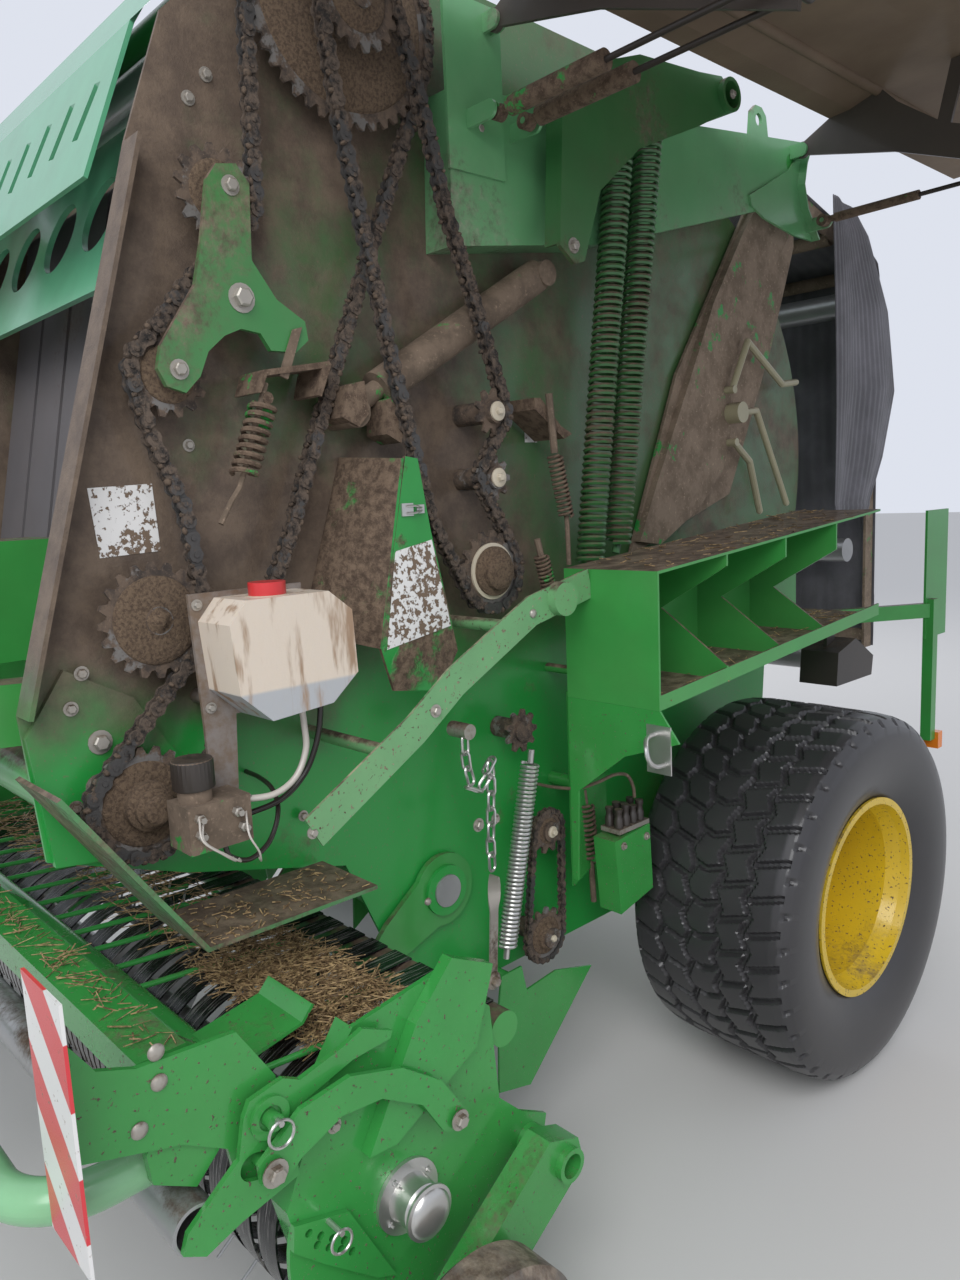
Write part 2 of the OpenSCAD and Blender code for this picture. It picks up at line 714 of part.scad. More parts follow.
module strut_rod(eye) {
    u = (eye - strut_foot) / norm(eye - strut_foot);
    tail = eye - 410 * u;
    for (s = struts) {
        rod([tail[0], s[0], tail[1]], [eye[0], s[0], eye[1]], rod_r);
        disc_y(eye, s[0] - eye_half, s[0] + eye_half, 15);
    }
}

module strut_barrel_left() color(black) in_row() strut_barrel(strut_eye_open);
module strut_rod_left() color(steel) in_row() strut_rod(strut_eye_open);
module strut_barrel_right() color(black) in_row() mirror([1, 0, 0]) strut_barrel(strut_eye_shut);
module strut_rod_right() color(steel) in_row() mirror([1, 0, 0]) strut_rod(strut_eye_shut);

// Cross tube at the back of the pickup
cross_tube = [-1288, reel[1] + band_r - cross_r - gap];

module pickup_frame() color(green) in_row() {
    bar(cross_tube, gap + 10 - shield_x, shield_x - 10 - gap, cross_r);
}

// Plates that hang the pickup on the rotor's bosses and clasp its cross tube
module pickup_hinges() color(green) in_row() {
    sides() slab(wall_x + 6, wall_x + 20) difference() {
        union() {
            translate(rotor) circle(90);
            polygon([[-1330, 600], [-1240, 690], [-1100, 790], [-1000, 660], [-1300, 560]]);
        }
        translate(rotor) circle(boss_r + gap);
        translate(cross_tube) circle(cross_r + gap);
        translate(cross_tube - [100, 100]) square([100, 200]);
    }
}

// Outline of a side shield, clockwise from its lowest front corner
shield_line = [
    [-1700, 300], [-1770, 405], [-1800, 535], [-1740, 670], [-1650, 795], [-1460, 820], [-1335, 700],
    [-1320, 500], [-1260, 440], [-1190, 400], [-1205, 335], [-1290, 300], [-1495, 190], [-1600, 200]
];

// Plate at the shield's front with a hollowed top edge, which carries the warning board
front_line = [
    [-1780, 600], [-1800, 780], [-1860, 880], [-2015, 893], [-2070, 915], [-2095, 955], [-2130 + gap, 1000],
    [-2130 + gap, 800], [-1960, 745], [-1890, 700], [-1880, 640]
];

module pickup_shields() color(green) in_row() sides() {
    slab(shield_x - 10, shield_x) difference() {
        union() {
            polygon(shield_line);
            polygon(front_line);
            translate(reel) circle(243);
        }
        translate(reel) circle(24 + gap);
        translate(wind_hinge) circle(14 + gap);
    }
    // flange along the front edge, and the plate that holds the bumper
    plate(strip([for (i = [0:4]) shield_line[i]], -6, 0), shield_x - 50, shield_x - 9);
    plate([[-1900, 875], [-1935, 860], [-2010, 750], [-2005, 700], [-1940, 660], [-1900, 700]],
        bumper_at[0] + bumper_r + gap, shield_x - 9);
}

module pickup_bands() color(black) in_row() {
    for (i = [0:bands - 1]) {
        x = band_span * ((i + 0.5) / bands - 0.5);
        slab(x - 30, x + 30) difference() {
            union() {
                translate(reel) circle(band_r + 4);
                translate(reel) square([285, band_r + 4]);
            }
            translate(reel) circle(band_r);
            translate(reel) translate([0, -260]) square([400, 260 + band_r]);
        }
    }
}

module pickup_reel() color(steel) in_row() {
    bar(reel, 1 - shield_x, shield_x - 1, 24);
    for (a = [0:72:359])
        translate([0, reel[0], reel[1]]) rotate([a, 0, 0]) {
            translate([-shield_x + 40, 150, 0]) rotate([0, 90, 0]) cylinder(r = 14, h = band_span);
            for (i = [1:bands - 1])
                translate([band_span * (i / bands - 0.5), 145, 0])
                    rotate([-90, 0, 0]) cylinder(r = 3, h = tine_r - 145, $fn = 6);
        }
    for (x = [-shield_x + 50, -10, shield_x - 60])
        translate([x, reel[0], reel[1]]) rotate([0, 90, 0]) cylinder(r = 150, h = 10);
}

// Bearing caps of the reel, outside the shields
module reel_hubs() color(steel) in_row() sides() {
    translate([shield_x + gap, reel[0], reel[1]]) rotate([0, 90, 0])
        rotate_extrude() polygon([[12, 0], [68, 0], [68, 8], [46, 10], [42, 48], [32, 60], [12, 62]]);
}

// Outline of the arched link from the wind guard's arm back over the reel
arch_line = [
    [-1862, 645], [-1865, 680], [-1785, 735], [-1690, 745], [-1585, 710], [-1500, 645], [-1445, 560],
    [-1460, 525], [-1500, 545], [-1545, 620], [-1630, 675], [-1710, 685], [-1790, 655], [-1830, 625]
];

module lift_arms() color(green) in_row() sides() {
    plate(arch_line, shield_x + 36, shield_x + 46);
    bar([-1842, 660], shield_x + gap, shield_x + 52, 12);
    bar([-1468, 555], shield_x + gap, shield_x + 52, 12);
    // channel that leans forward beside the shield
    plate([[-1445, 850], [-1345, 800], [-1395, 655], [-1590, 560], [-1650, 565], [-1535, 760]],
        shield_x + gap, shield_x + 26);
    // plate with holes for the gauge wheel's height
    slab(shield_x + gap, shield_x + 12) difference() {
        polygon([[-1795, 515], [-1800, 470], [-1745, 415], [-1640, 320], [-1600, 300], [-1690, 480]]);
        for (i = [0:3], j = [0:1])
            translate([-1770 + i * 22 + j * 14, 488 - i * 18 - j * 30]) circle(7);
    }
    // square arm of the gauge wheel on its cross tube
    slab(shield_x + 45, shield_x + 105) difference() {
        polygon([[-1195, 345], [-1210, 408], [-1290, 440], [-1580, 240], [-1560, 165], [-1500, 150]]);
        translate([-1245, 372]) circle(24);
    }
    pipe([-1245, 372], shield_x + gap, shield_x + 120, 34, 24);
    bar(gauge, shield_x + 46, gauge_x + gauge_w / 2 + 6, 15);
}

// Bumper tube round the front of the pickup
module bumper() color(green) in_row() {
    inner = bumper_at[0] - bumper_bend;
    sides() translate([0, bumper_at[1], bumper_at[2]]) {
        translate([bumper_at[0], 0, 0]) rotate([-90, 0, 0]) cylinder(r = bumper_r, h = 120);
        translate([inner, 0, 0]) rotate([0, 0, -90]) rotate_extrude(angle = 90)
            translate([bumper_bend, 0]) circle(bumper_r);
    }
    bar([bumper_at[1] - bumper_bend, bumper_at[2]], -inner, inner, bumper_r);
}

// Outline of the wind guard's arm, with a slot for the bolt behind it
arm_line = [
    [-1872, 752], [-1860, 775], [-1800, 785], [-1770, 768], [-1690, 785], [-1645, 800], [-1585, 770],
    [-1590, 758], [-1670, 755], [-1770, 728], [-1790, 690], [-1785, 610], [-1890, 588], [-1950, 568],
    [-1985, 590], [-1975, 620], [-1885, 690]
];

module wind_guard() color(green) in_row() {
    bar(wind_hinge, -1040, 1040, 30);
    sides() {
        bar(wind_hinge, 1040, shield_x + 46, 14);
        slab(shield_x + 14, shield_x + 24) difference() {
            polygon(arm_line);
            link2d([-1842, 660], [-1863, 667], 44);
        }
        pipe(wind_hinge, shield_x + 16, shield_x + 30, 34, 20);
        // cover plate over the end of the pickup
        plate([[-1830, 756], [-1690, 782], [-1665, 808], [-1670, 812], [-1693, 787], [-1830, 764]],
            845, 990);
    }
    for (x = guard_rods)
        rod([x, -1850, 750], [x, -1480, 720], 6);
    for (x = [-900, 0, 900])
        beam([x, -1830, 735], [x, -1940, 828], 20, 50);
    // channel across the front that holds the comb
    plate([[-1985, 850], [-1905, 850], [-1905, 842], [-1977, 842], [-1977, 790], [-1985, 790]],
        -1000, 1000);
}

// Roller carried by the wind guard's arms
module press_roller() color(steel) in_row() {
    pipe([-1955, 610], -shield_x - 14 + gap, shield_x + 14 - gap, 40, 34);
}

module warning_boards() color([0.85, 0.2, 0.2]) in_row() sides() {
    translate([1032, -2135, 690]) cube([140, 5, 385]);
}

module feed_rotor() color(green) in_row() {
    bar(rotor, 20 - wall_x, wall_x - 20, 110);
    for (i = [-4:4])
        translate([i * 120, rotor[0], rotor[1]]) rotate([0, 90, 0]) linear_extrude(8)
            for (a = [0:90:359]) rotate(a + i * 20) polygon([[60, -60], [180, 0], [60, 60]]);
}

module rotor_stubs() color(steel) in_row() sides() {
    bar(rotor, wall_x - 20, wall_x + 34, stub_r);
}

// Wheels
module wheel_at(side) {
    translate([side * hub_x, 0, tyre_r]) rotate([0, side * 90, 0]) children();
}

module tyre() {
    side = tyre_w / 2;
    bead_r = rim_d / 2;
    rotate_extrude($fn = 96) polygon([
        [bead_r, -side + 47], [bead_r + 60, -side + 14], [bead_r + 150, -side], [tyre_r - 35, -side + 10],
        [tyre_r - 8, -side + 50], [tyre_r, 0], [tyre_r - 8, side - 50], [tyre_r - 35, side - 10],
        [bead_r + 150, side], [bead_r + 60, side - 14], [bead_r, side - 47]
    ]);
}

module rim() {
    r = rim_d / 2;
    rotate_extrude($fn = 96) polygon([
        [r - gap, -198], [r - gap, 198], [r + 9, 207], [r + 9, 214], [r - 10, 214], [r - 16, 190],
        [r - 30, 150], [r - 30, -20], [150, -55], [80, -55], [80, 20], [38 + gap, 20],
        [38 + gap, -80], [150, -80],
        [r - 30, -60], [r - 16, -190], [r - 10, -214], [r + 9, -214], [r + 9, -207]
    ]);
}

module tyre_left() color(black) in_row() wheel_at(1) tyre();
module tyre_right() color(black) in_row() wheel_at(-1) tyre();
module rim_left() color(yellow) in_row() wheel_at(1) rim();
module rim_right() color(yellow) in_row() wheel_at(-1) rim();

module gauge_wheel(side) {
    r = gauge_d / 2;
    w = gauge_w / 2;
    translate([side * gauge_x, gauge[0], gauge[1]]) rotate([0, 90, 0]) rotate_extrude()
        polygon([[15 + gap, -w + 10], [r - 120, -w + 10], [r - 100, -w], [r - 20, -w + 2], [r, -w + 20],
            [r, w - 20], [r - 20, w - 2], [r - 100, w], [r - 120, w - 10], [15 + gap, w - 10]]);
}

module gauge_wheel_left() color([0.6, 0.58, 0.54]) in_row() gauge_wheel(1);
module gauge_wheel_right() color([0.6, 0.58, 0.54]) in_row() gauge_wheel(-1);

side_walls();
frame_tubes();
top_beams();
hole_beam();
front_guard();
belts();
chamber_rollers();
axle();
drawbar();
gearbox();
jack_tube();
jack_leg();
drive_chains();
sprockets();
chain_tensioner();
oil_tank();
oil_cap();
oil_pump();
drip_tray();
label_shield();
tension_cylinders();
tension_springs();
crank_plates();
guard_bars();
twine_boxes();
wheel_fenders();
lamp_posts();
rear_lamps();
wheel_chock();
gate_frame();
gate_curtain();
gate_rollers();
gate_bows();
panel_left();
panel_right();
panel_arms_left();
panel_arms_right();
strut_barrel_left();
strut_rod_left();
strut_barrel_right();
strut_rod_right();
pickup_frame();
pickup_hinges();
pickup_shields();
pickup_bands();
pickup_reel();
reel_hubs();
lift_arms();
bumper();
wind_guard();
press_roller();
warning_boards();
feed_rotor();
rotor_stubs();
gauge_wheel_left();
gauge_wheel_right();
tyre_left();
tyre_right();
rim_left();
rim_right();
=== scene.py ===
# %% [markdown]
# # A round baler with its left side panel open
#
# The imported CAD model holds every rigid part: walls, beams, wheels, pickup and panels.
# This script gives those parts their finishes and adds what CAD leaves out: roller chains,
# coil springs, tyre tread, the canvas over the gate, bolts, hoses, straw and dried dust.

# %% Tools
import math

import bmesh
import bpy
import numpy as np
from mathutils import Matrix, Vector


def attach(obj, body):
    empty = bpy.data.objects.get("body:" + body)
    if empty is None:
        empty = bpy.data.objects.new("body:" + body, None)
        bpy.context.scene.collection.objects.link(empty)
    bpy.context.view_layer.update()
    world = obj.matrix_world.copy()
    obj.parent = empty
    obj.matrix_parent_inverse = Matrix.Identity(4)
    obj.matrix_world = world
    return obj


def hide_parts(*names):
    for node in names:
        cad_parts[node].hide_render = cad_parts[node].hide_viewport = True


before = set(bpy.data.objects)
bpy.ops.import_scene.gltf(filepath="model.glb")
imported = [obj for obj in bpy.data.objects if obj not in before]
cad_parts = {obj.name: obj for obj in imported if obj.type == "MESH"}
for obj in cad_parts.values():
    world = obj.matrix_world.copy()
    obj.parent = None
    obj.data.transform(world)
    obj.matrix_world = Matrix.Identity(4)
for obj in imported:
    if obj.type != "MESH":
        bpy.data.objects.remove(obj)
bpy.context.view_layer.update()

# %% [markdown]
# ## Places
#
# The CAD origin is the towing eye. It is easier to think from the axle line on the ground,
# so every place below is written that way, in millimetres as on a drawing: x to the
# machine's left, y to the rear, z up. `at()` moves such a place into the CAD frame.

# %% Places from the axle line
MM = 0.001
EYE_REACH = 3150
EYE_HEIGHT = 480
SHIFT = np.array([0, EYE_REACH, -EYE_HEIGHT])
LEFT = np.array([1, 1, 1])
RIGHT = np.array([-1, 1, 1])


def at(points):
    """Points in millimetres from the axle line, as metres from the towing eye."""
    return (np.asarray(points, float) + SHIFT) * MM


# %% [markdown]
# ## Camera
#
# The view is the photo's: from the front left corner, at eye height, with the picture held
# upright. The lens is given as a focal length in pixels of a picture 960 pixels wide,
# which a 36 mm wide sensor turns into millimetres. Three angles and a place say more
# plainly than a matrix where the camera stands, so the matrix is worked out from them.

# %% Camera
FOCAL_PIXELS = 949
PICTURE_WIDTH = 960
SENSOR_WIDTH = 36
EYE_POINT = (2336, -2479.5, 1671)
YAW, PITCH, ROLL = np.radians([47.2, 8.65, -2.6])


def in_scene(name, data):
    """A new object that holds this mesh, camera or lamp, put in the scene."""
    made = bpy.data.objects.new(name, data)
    bpy.context.scene.collection.objects.link(made)
    return made


def camera_axes(yaw, pitch, roll):
    """Right, up and backward of a camera that looks along +Y turned left by yaw and down by pitch,
    then turned about its own line of sight by roll."""
    ahead = np.array([-np.sin(yaw) * np.cos(pitch), np.cos(yaw) * np.cos(pitch), -np.sin(pitch)])
    right = np.cross(ahead, [0, 0, 1])
    right /= np.linalg.norm(right)
    up = np.cross(right, ahead)
    return np.array([
        right * np.cos(roll) + up * np.sin(roll),
        up * np.cos(roll) - right * np.sin(roll),
        -ahead,
    ])


camera = in_scene("camera", bpy.data.cameras.new("camera"))
camera.data.sensor_fit = "HORIZONTAL"
camera.data.sensor_width = SENSOR_WIDTH
camera.data.lens = SENSOR_WIDTH * FOCAL_PIXELS / PICTURE_WIDTH
camera.data.clip_start = 0.05
camera.data.clip_end = 200
turned = Matrix(camera_axes(YAW, PITCH, ROLL).T.tolist()).to_4x4()
camera.matrix_world = Matrix.Translation(Vector(at(EYE_POINT))) @ turned
bpy.context.scene.camera = camera
print("camera at", [round(v, 3) for v in camera.matrix_world.translation])

# %% [markdown]
# ## Materials
#
# Each finish is a small node network. A painted picture would need a map for each of sixty
# parts; patterns worked out from the place of each point need none. They read Object
# coordinates, so they stay on a part while it moves. `Net` keeps the code short: it makes a
# node, sets its inputs by name and wires it in the same call.

# %% A short way to write node networks


class Net:
    """The node network of one material, with its Principled shader."""

    def __init__(self, name, **settings):
        """Makes the material; settings are inputs of its shader."""
        self.material = bpy.data.materials.new(name)
        self.material.use_nodes = True
        self.nodes = self.material.node_tree.nodes
        self.links = self.material.node_tree.links
        self.shader = self.nodes["Principled BSDF"]
        for socket, value in settings.items():
            self.feed(self.shader, socket, value)
        coordinates = self.nodes.new("ShaderNodeTexCoord")
        self.place = coordinates.outputs["Object"]
        self.facing = coordinates.outputs["Normal"]

    def feed(self, node, socket, value):
        """Sets or wires one input. Underscores in a socket's name stand for spaces."""
        target = node.inputs[socket if isinstance(socket, int) else socket.replace("_", " ")]
        if isinstance(value, bpy.types.NodeSocket):
            self.links.new(value, target)
        elif isinstance(value, tuple) and len(value) == 3 and target.type == "RGBA":
            target.default_value = (*value, 1)
        else:
            target.default_value = value

    def add(self, kind, out=0, settings=None, **inputs):
        """Makes a node and gives one of its outputs. An input known by its number is _0, _1 and so on."""
        node = self.nodes.new("ShaderNode" + kind)
        for key, value in (settings or {}).items():
            setattr(node, key, value)
        for socket, value in inputs.items():
            self.feed(node, int(socket[1:]) if socket[0] == "_" else socket, value)
        return node.outputs[out]

    def noise(self, scale, detail=4, roughness=0.6, place=None):
        """Cloudy noise from 0 to 1 with about scale clouds to the metre."""
        return self.add("TexNoise", Vector=place or self.place, Scale=scale, Detail=detail,
                        Roughness=roughness)

    def stretched(self, along):
        """Object coordinates times three numbers, for marks that run one way."""
        return self.add("Mapping", Vector=self.place, Scale=along)

    def math(self, operation, a, b=0.0, c=0.0):
        """One step of arithmetic. MULTIPLY_ADD is a times b plus c."""
        return self.add("Math", settings={"operation": operation}, _0=a, _1=b, _2=c)

    def ramp(self, value, low, high):
        """0 below low, 1 above high and a smooth step between."""
        return self.add("MapRange", settings={"interpolation_type": "SMOOTHSTEP"}, Value=value,
                        From_Min=low, From_Max=high)

    def mix(self, factor, a, b):
        """Colour a where the factor is 0, colour b where it is 1."""
        return self.add("Mix", 2, {"data_type": "RGBA"}, _0=factor, _6=a, _7=b)

    def axis(self, vector, index):
        """One number of a vector: 0 for x, 1 for y, 2 for z."""
        return self.add("SeparateXYZ", index, Vector=vector)

    def finish(self, colour, rough, height, depth):
        """Wires colour, roughness and a bump of that depth in metres, and gives the material."""
        self.feed(self.shader, "Base_Color", colour)
        self.feed(self.shader, "Roughness", rough)
        self.feed(self.shader, "Normal", self.add("Bump", Height=height, Distance=depth, Strength=1.0))
        return self.material


# %% Colours, as reflectance
GREEN = (0.022, 0.300, 0.052)
# The next green is the enamel green darkened as painted shade.
PAINTED_SHADE_GREEN = (0.012, 0.150, 0.034)
MINT = (0.10, 0.40, 0.22)
DUST = (0.165, 0.115, 0.078)
PALE_DUST = (0.30, 0.24, 0.18)
DARK_DUST = (0.075, 0.048, 0.032)
YELLOW = (0.72, 0.49, 0.010)
BLACK = (0.012, 0.012, 0.013)
ZINC = (0.42, 0.43, 0.44)
WHITE = (0.72, 0.71, 0.69)
SIGNAL_RED = (0.62, 0.035, 0.045)

# %% [markdown]
# ## Enamel under field dust
#
# The paint is a saturated green enamel. Dust has dried on it in patches, more on what faces
# up and near the chains. One mask made of slow noise, fine grain and the way the face points
# mixes the two and roughens the dusty part. The same recipe with other colours serves zinc,
# plastic and rubber, because the same dust lies on all of them.

# %% Enamel with dust


def shades(colour, low, high):
    """The colour darkened and lightened by two shares."""
    return tuple(c * low for c in colour), tuple(min(c * high, 1.0) for c in colour)


def enamel(name, colour, dust=0.3, top=0.35, rough=0.28, metal=0.0, over=DUST, splash=0.0):
    """Coloured enamel with dried dust: dust from 0, clean, to 1, covered; splash adds small spots."""
    net = Net(name, Metallic=metal, Coat_Weight=0.25 if metal == 0 else 0.0, Coat_Roughness=0.12)
    slow = net.noise(2.6, 7, 0.62)
    fine = net.noise(70, 3, 0.7)
    upward = net.ramp(net.axis(net.facing, 2), 0.1, 0.95)
    mask = net.math("MULTIPLY_ADD", fine, 0.35, slow)
    mask = net.math("MULTIPLY_ADD", upward, top, mask)
    cover = net.ramp(mask, 1.05 - 0.75 * dust, 1.30 - 0.75 * dust)
    if splash:
        spots = net.ramp(net.noise(130, 2, 0.5), 0.68 - splash, 0.74 - splash)
        cover = net.math("MAXIMUM", cover, spots)
    shade = net.mix(net.noise(9, 5, 0.6), *shades(colour, 0.80, 1.18))
    dirt = net.mix(net.ramp(net.noise(22, 6, 0.7), 0.35, 0.7), DARK_DUST, over)
    thin = net.mix(net.math("MULTIPLY", slow, 0.22 + 0.3 * dust), shade, over)
    grain = net.math("MULTIPLY", net.noise(160, 4, 0.75), cover)
    return net.finish(net.mix(cover, thin, dirt), net.math("MULTIPLY_ADD", cover, 0.55, rough),
                      net.math("MULTIPLY_ADD", net.noise(12, 2), 0.15, grain), 0.0012)


# %% [markdown]
# ## Crust
#
# On the chains, sprockets and the wall beside them, oil has bound the dust into a brown
# crust with crumbs in it. Modelled crumbs would take millions of faces, so it is all bump
# and colour: coarse noise for the crumbs, fine noise for the grain, dark in the hollows.

# %% Crust of oil and dust


def crust(name, base=DUST, dark=DARK_DUST, crumbs=45, depth=0.004, bare=None, share=0.0):
    """Caked dust; bare is a colour that shows through over the given share."""
    net = Net(name)
    coarse = net.noise(crumbs, 5, 0.7)
    fine = net.noise(crumbs * 6, 3, 0.7)
    colour = net.mix(net.ramp(coarse, 0.35, 0.62), dark, base)
    colour = net.mix(net.ramp(fine, 0.55, 0.75), colour, tuple(c * 1.45 for c in base))
    rough = 0.92
    if bare:
        shown = net.ramp(net.noise(9, 6, 0.7), 0.62 - share, 0.68 - share)
        colour = net.mix(shown, colour, bare)
        rough = net.math("MULTIPLY_ADD", shown, -0.45, rough)
    return net.finish(colour, rough, net.math("MULTIPLY_ADD", fine, 0.3, coarse), depth)


# %% [markdown]
# ## Finishes with a pattern of their own
#
# The open panel is green outside and beige with dust below: the way a face points tells the
# two apart. The reflective boards have slanted stripes. The bands of the pickup are gloss
# black, worn to bright streaks by the crop. Blank film, flaked and dusty, stands where the
# machine has its labels. Each pattern is a formula of the place, so no picture is needed.

# %% Wall, panel, boards, bands and film


def wall_finish(clean_below=0.70, dust_and_painted_shade_above=0.95, sway=0.5):
    """Smooth brown dust on the upper wall, more of it towards the front, over green darkened as painted
    shade.
    Between two heights in metres, which sway with slow noise, dust and painted shade give way to bright
    green."""
    net = Net("wall_dust_and_painted_shade_to_clean", Coat_Weight=0.2, Coat_Roughness=0.15)
    wavy = net.math("MULTIPLY_ADD", net.noise(3, 5), sway, net.axis(net.place, 2))
    height = net.ramp(wavy, clean_below + sway / 2, dust_and_painted_shade_above + sway / 2)
    front = net.ramp(net.axis(net.place, 1), 2.6, 1.3)
    slow = net.math("MULTIPLY_ADD", front, 0.22, net.noise(2.0, 8, 0.66))
    upper = net.math("MULTIPLY", net.ramp(slow, 0.44, 0.66), height)
    cover = net.math("MAXIMUM", upper, net.ramp(net.noise(3.5, 6, 0.7), 0.60, 0.75))
    # Above the two heights the green under the dust is darkened, as painted shade.
    paint = net.mix(height, GREEN, PAINTED_SHADE_GREEN)
    mottle = net.ramp(net.noise(15, 6, 0.7), 0.3, 0.7)
    dirt = net.mix(mottle, (0.092, 0.064, 0.046), (0.165, 0.118, 0.082))
    speck = net.ramp(net.noise(140, 3, 0.6), 0.62, 0.68)
    specks = net.math("MULTIPLY_ADD", speck, 0.4, net.math("MULTIPLY", height, 0.3))
    thin = net.mix(specks, paint, DUST)
    grain = net.math("MULTIPLY", net.noise(170, 4, 0.75), net.math("MULTIPLY_ADD", cover, 0.9, 0.1))
    rough = net.math("MULTIPLY_ADD", cover, 0.5, 0.32)
    return net.finish(net.mix(cover, thin, dirt), rough, grain, 0.0018)


def panel_finish():
    """Green on the face that points up and out, beige dust on the face that points down."""
    net = Net("panel_two_faces", Coat_Weight=0.1, Coat_Roughness=0.2)
    below = net.ramp(net.math("MULTIPLY", net.axis(net.facing, 2), -1.0), -0.05, 0.05)
    slow = net.noise(1.7, 5, 0.55)
    dust = net.mix(net.ramp(slow, 0.3, 0.7), (0.125, 0.085, 0.055), (0.20, 0.145, 0.095))
    outer = net.mix(net.ramp(net.noise(2.2, 6), 0.45, 0.8), GREEN, DUST)
    rough = net.math("MULTIPLY_ADD", below, 0.4, 0.45)
    return net.finish(net.mix(below, outer, dust), rough, net.noise(110, 3), 0.0006)


def shield_finish():
    """Green on the face to the side, with an earthy cake on the part that is bent towards the front."""
    net = Net("shield_caked", Coat_Weight=0.15, Coat_Roughness=0.2)
    forward = net.ramp(net.math("MULTIPLY", net.axis(net.facing, 1), -1.0), 0.15, 0.45)
    height = net.ramp(net.axis(net.place, 2), 1.26, 1.02)
    patches = net.ramp(net.math("MULTIPLY_ADD", height, 0.12, net.noise(5, 7, 0.7)), 0.56, 0.66)
    bend = net.math("MULTIPLY", forward, net.ramp(net.noise(7, 6, 0.7), 0.30, 0.42))
    cover = net.math("MAXIMUM", bend, patches)
    mottle = net.ramp(net.noise(45, 6, 0.75), 0.35, 0.65)
    dirt = net.mix(mottle, (0.070, 0.044, 0.028), (0.20, 0.138, 0.092))
    paint = net.mix(net.noise(9, 5), *shades(GREEN, 0.7, 1.0))
    grain = net.math("MULTIPLY", net.noise(90, 5, 0.8), cover)
    rough = net.math("MULTIPLY_ADD", cover, 0.5, 0.34)
    return net.finish(net.mix(cover, paint, dirt), rough, grain, 0.005)


def board_finish(stripes_per_metre=5.4):
    """Red and white stripes that slant down and outwards, with some dried splashes. The distance from the
    middle plus the height is the same all along one stripe."""
    net = Net("board_stripes", Coat_Weight=0.4, Coat_Roughness=0.1)
    across = net.math("ABSOLUTE", net.axis(net.place, 0))
    slant = net.math("ADD", across, net.axis(net.place, 2))
    stripe = net.math("FRACT", net.math("MULTIPLY", slant, stripes_per_metre))
    edge = net.ramp(net.math("PINGPONG", stripe, 0.5), 0.245, 0.255)
    colour = net.mix(edge, SIGNAL_RED, WHITE)
    spots = net.ramp(net.noise(60, 4, 0.7), 0.62, 0.70)
    rough = net.math("MULTIPLY_ADD", spots, 0.5, 0.32)
    return net.finish(net.mix(spots, colour, PALE_DUST), rough, net.noise(900, 1), 0.0002)


def band_finish():
    """Gloss black with bright streaks that run round the band."""
    net = Net("bands_worn", Metallic=0.25)
    streaks = net.noise(1, 4, 0.7, net.stretched((260, 9, 9)))
    worn = net.ramp(streaks, 0.50, 0.66)
    colour = net.mix(worn, (0.010, 0.010, 0.011), (0.22, 0.21, 0.20))
    return net.finish(colour, net.math("MULTIPLY_ADD", worn, 0.12, 0.16), streaks, 0.0004)


def film_finish(name, worn):
    """White film; worn is the share that has come off or is dirty."""
    net = Net(name)
    flakes = net.ramp(net.math("MULTIPLY_ADD", net.noise(4, 2), 0.8, net.noise(75, 4, 0.65)),
                      1.08 - 0.35 * worn, 1.11 - 0.35 * worn)
    return net.finish(net.mix(flakes, WHITE, DUST), net.math("MULTIPLY_ADD", flakes, 0.4, 0.4),
                      net.math("MULTIPLY", flakes, -1.0), 0.0006)


# %% [markdown]
# ## Tank, cloth, rubber and straw
#
# The oil tank is milky plastic with brown runs down it and oil in its lowest quarter.
# The canvas is woven, so it carries a fine check of two waves. Tyre rubber is black with
# grey dust in the grooves. Straw is pale yellow to brown, each stalk a little different.
# The tank's CAD node holds the plate behind it too, and the place in x tells them apart.

# %% Tank, cloth, rubber and straw
OIL_LEVEL = (1345 - EYE_HEIGHT) * MM
BRACKET_FACE = 752.1 * MM


def tank_finish():
    """Milky plastic, darker below the oil level and in the runs, with grit on the plate behind it."""
    net = Net("tank_milky", Subsurface_Weight=0.15, Coat_Weight=0.1)
    net.feed(net.shader, "Subsurface_Radius", (0.02, 0.015, 0.01))
    net.feed(net.shader, "Subsurface_Scale", 0.05)
    runs = net.ramp(net.noise(1, 4, 0.6, net.stretched((26, 26, 5))), 0.52, 0.68)
    filled = net.ramp(net.axis(net.place, 2), OIL_LEVEL + 0.004, OIL_LEVEL - 0.004)
    milk = net.mix(filled, (0.66, 0.57, 0.47), (0.42, 0.43, 0.44))
    body = net.mix(runs, milk, (0.33, 0.22, 0.14))
    plate = net.ramp(net.axis(net.place, 0), BRACKET_FACE + 0.0004, BRACKET_FACE)
    grit = net.mix(net.ramp(net.noise(24, 6, 0.7), 0.35, 0.65), DUST, (0.22, 0.19, 0.17))
    rough = net.math("MULTIPLY_ADD", runs, 0.3, 0.38)
    return net.finish(net.mix(plate, body, grit), rough, net.noise(40, 3), 0.0008)


def cloth_finish(name, colour, thread):
    """Woven cloth: two sine waves a thread apart, multiplied, over slow changes of shade."""
    net = Net(name, Sheen_Weight=0.25, Sheen_Roughness=0.5)
    step = 2 * math.pi / thread
    warp, weft = [net.math("SINE", net.math("MULTIPLY", net.axis(net.place, i), step)) for i in (0, 2)]
    weave = net.math("MULTIPLY", warp, weft)
    worn = net.ramp(net.noise(5, 5), 0.35, 0.75)
    return net.finish(net.mix(worn, *shades(colour, 0.75, 1.3)),
                      net.math("MULTIPLY_ADD", worn, 0.1, 0.78), weave, 0.0005)


def straw_finish():
    """Brown to pale yellow, by noise about as fine as a stalk is long."""
    net = Net("straw_stalks")
    colour = net.mix(net.ramp(net.noise(90, 2), 0.35, 0.65), (0.12, 0.072, 0.034), (0.42, 0.29, 0.14))
    return net.finish(colour, 0.65, net.noise(500, 2), 0.0003)


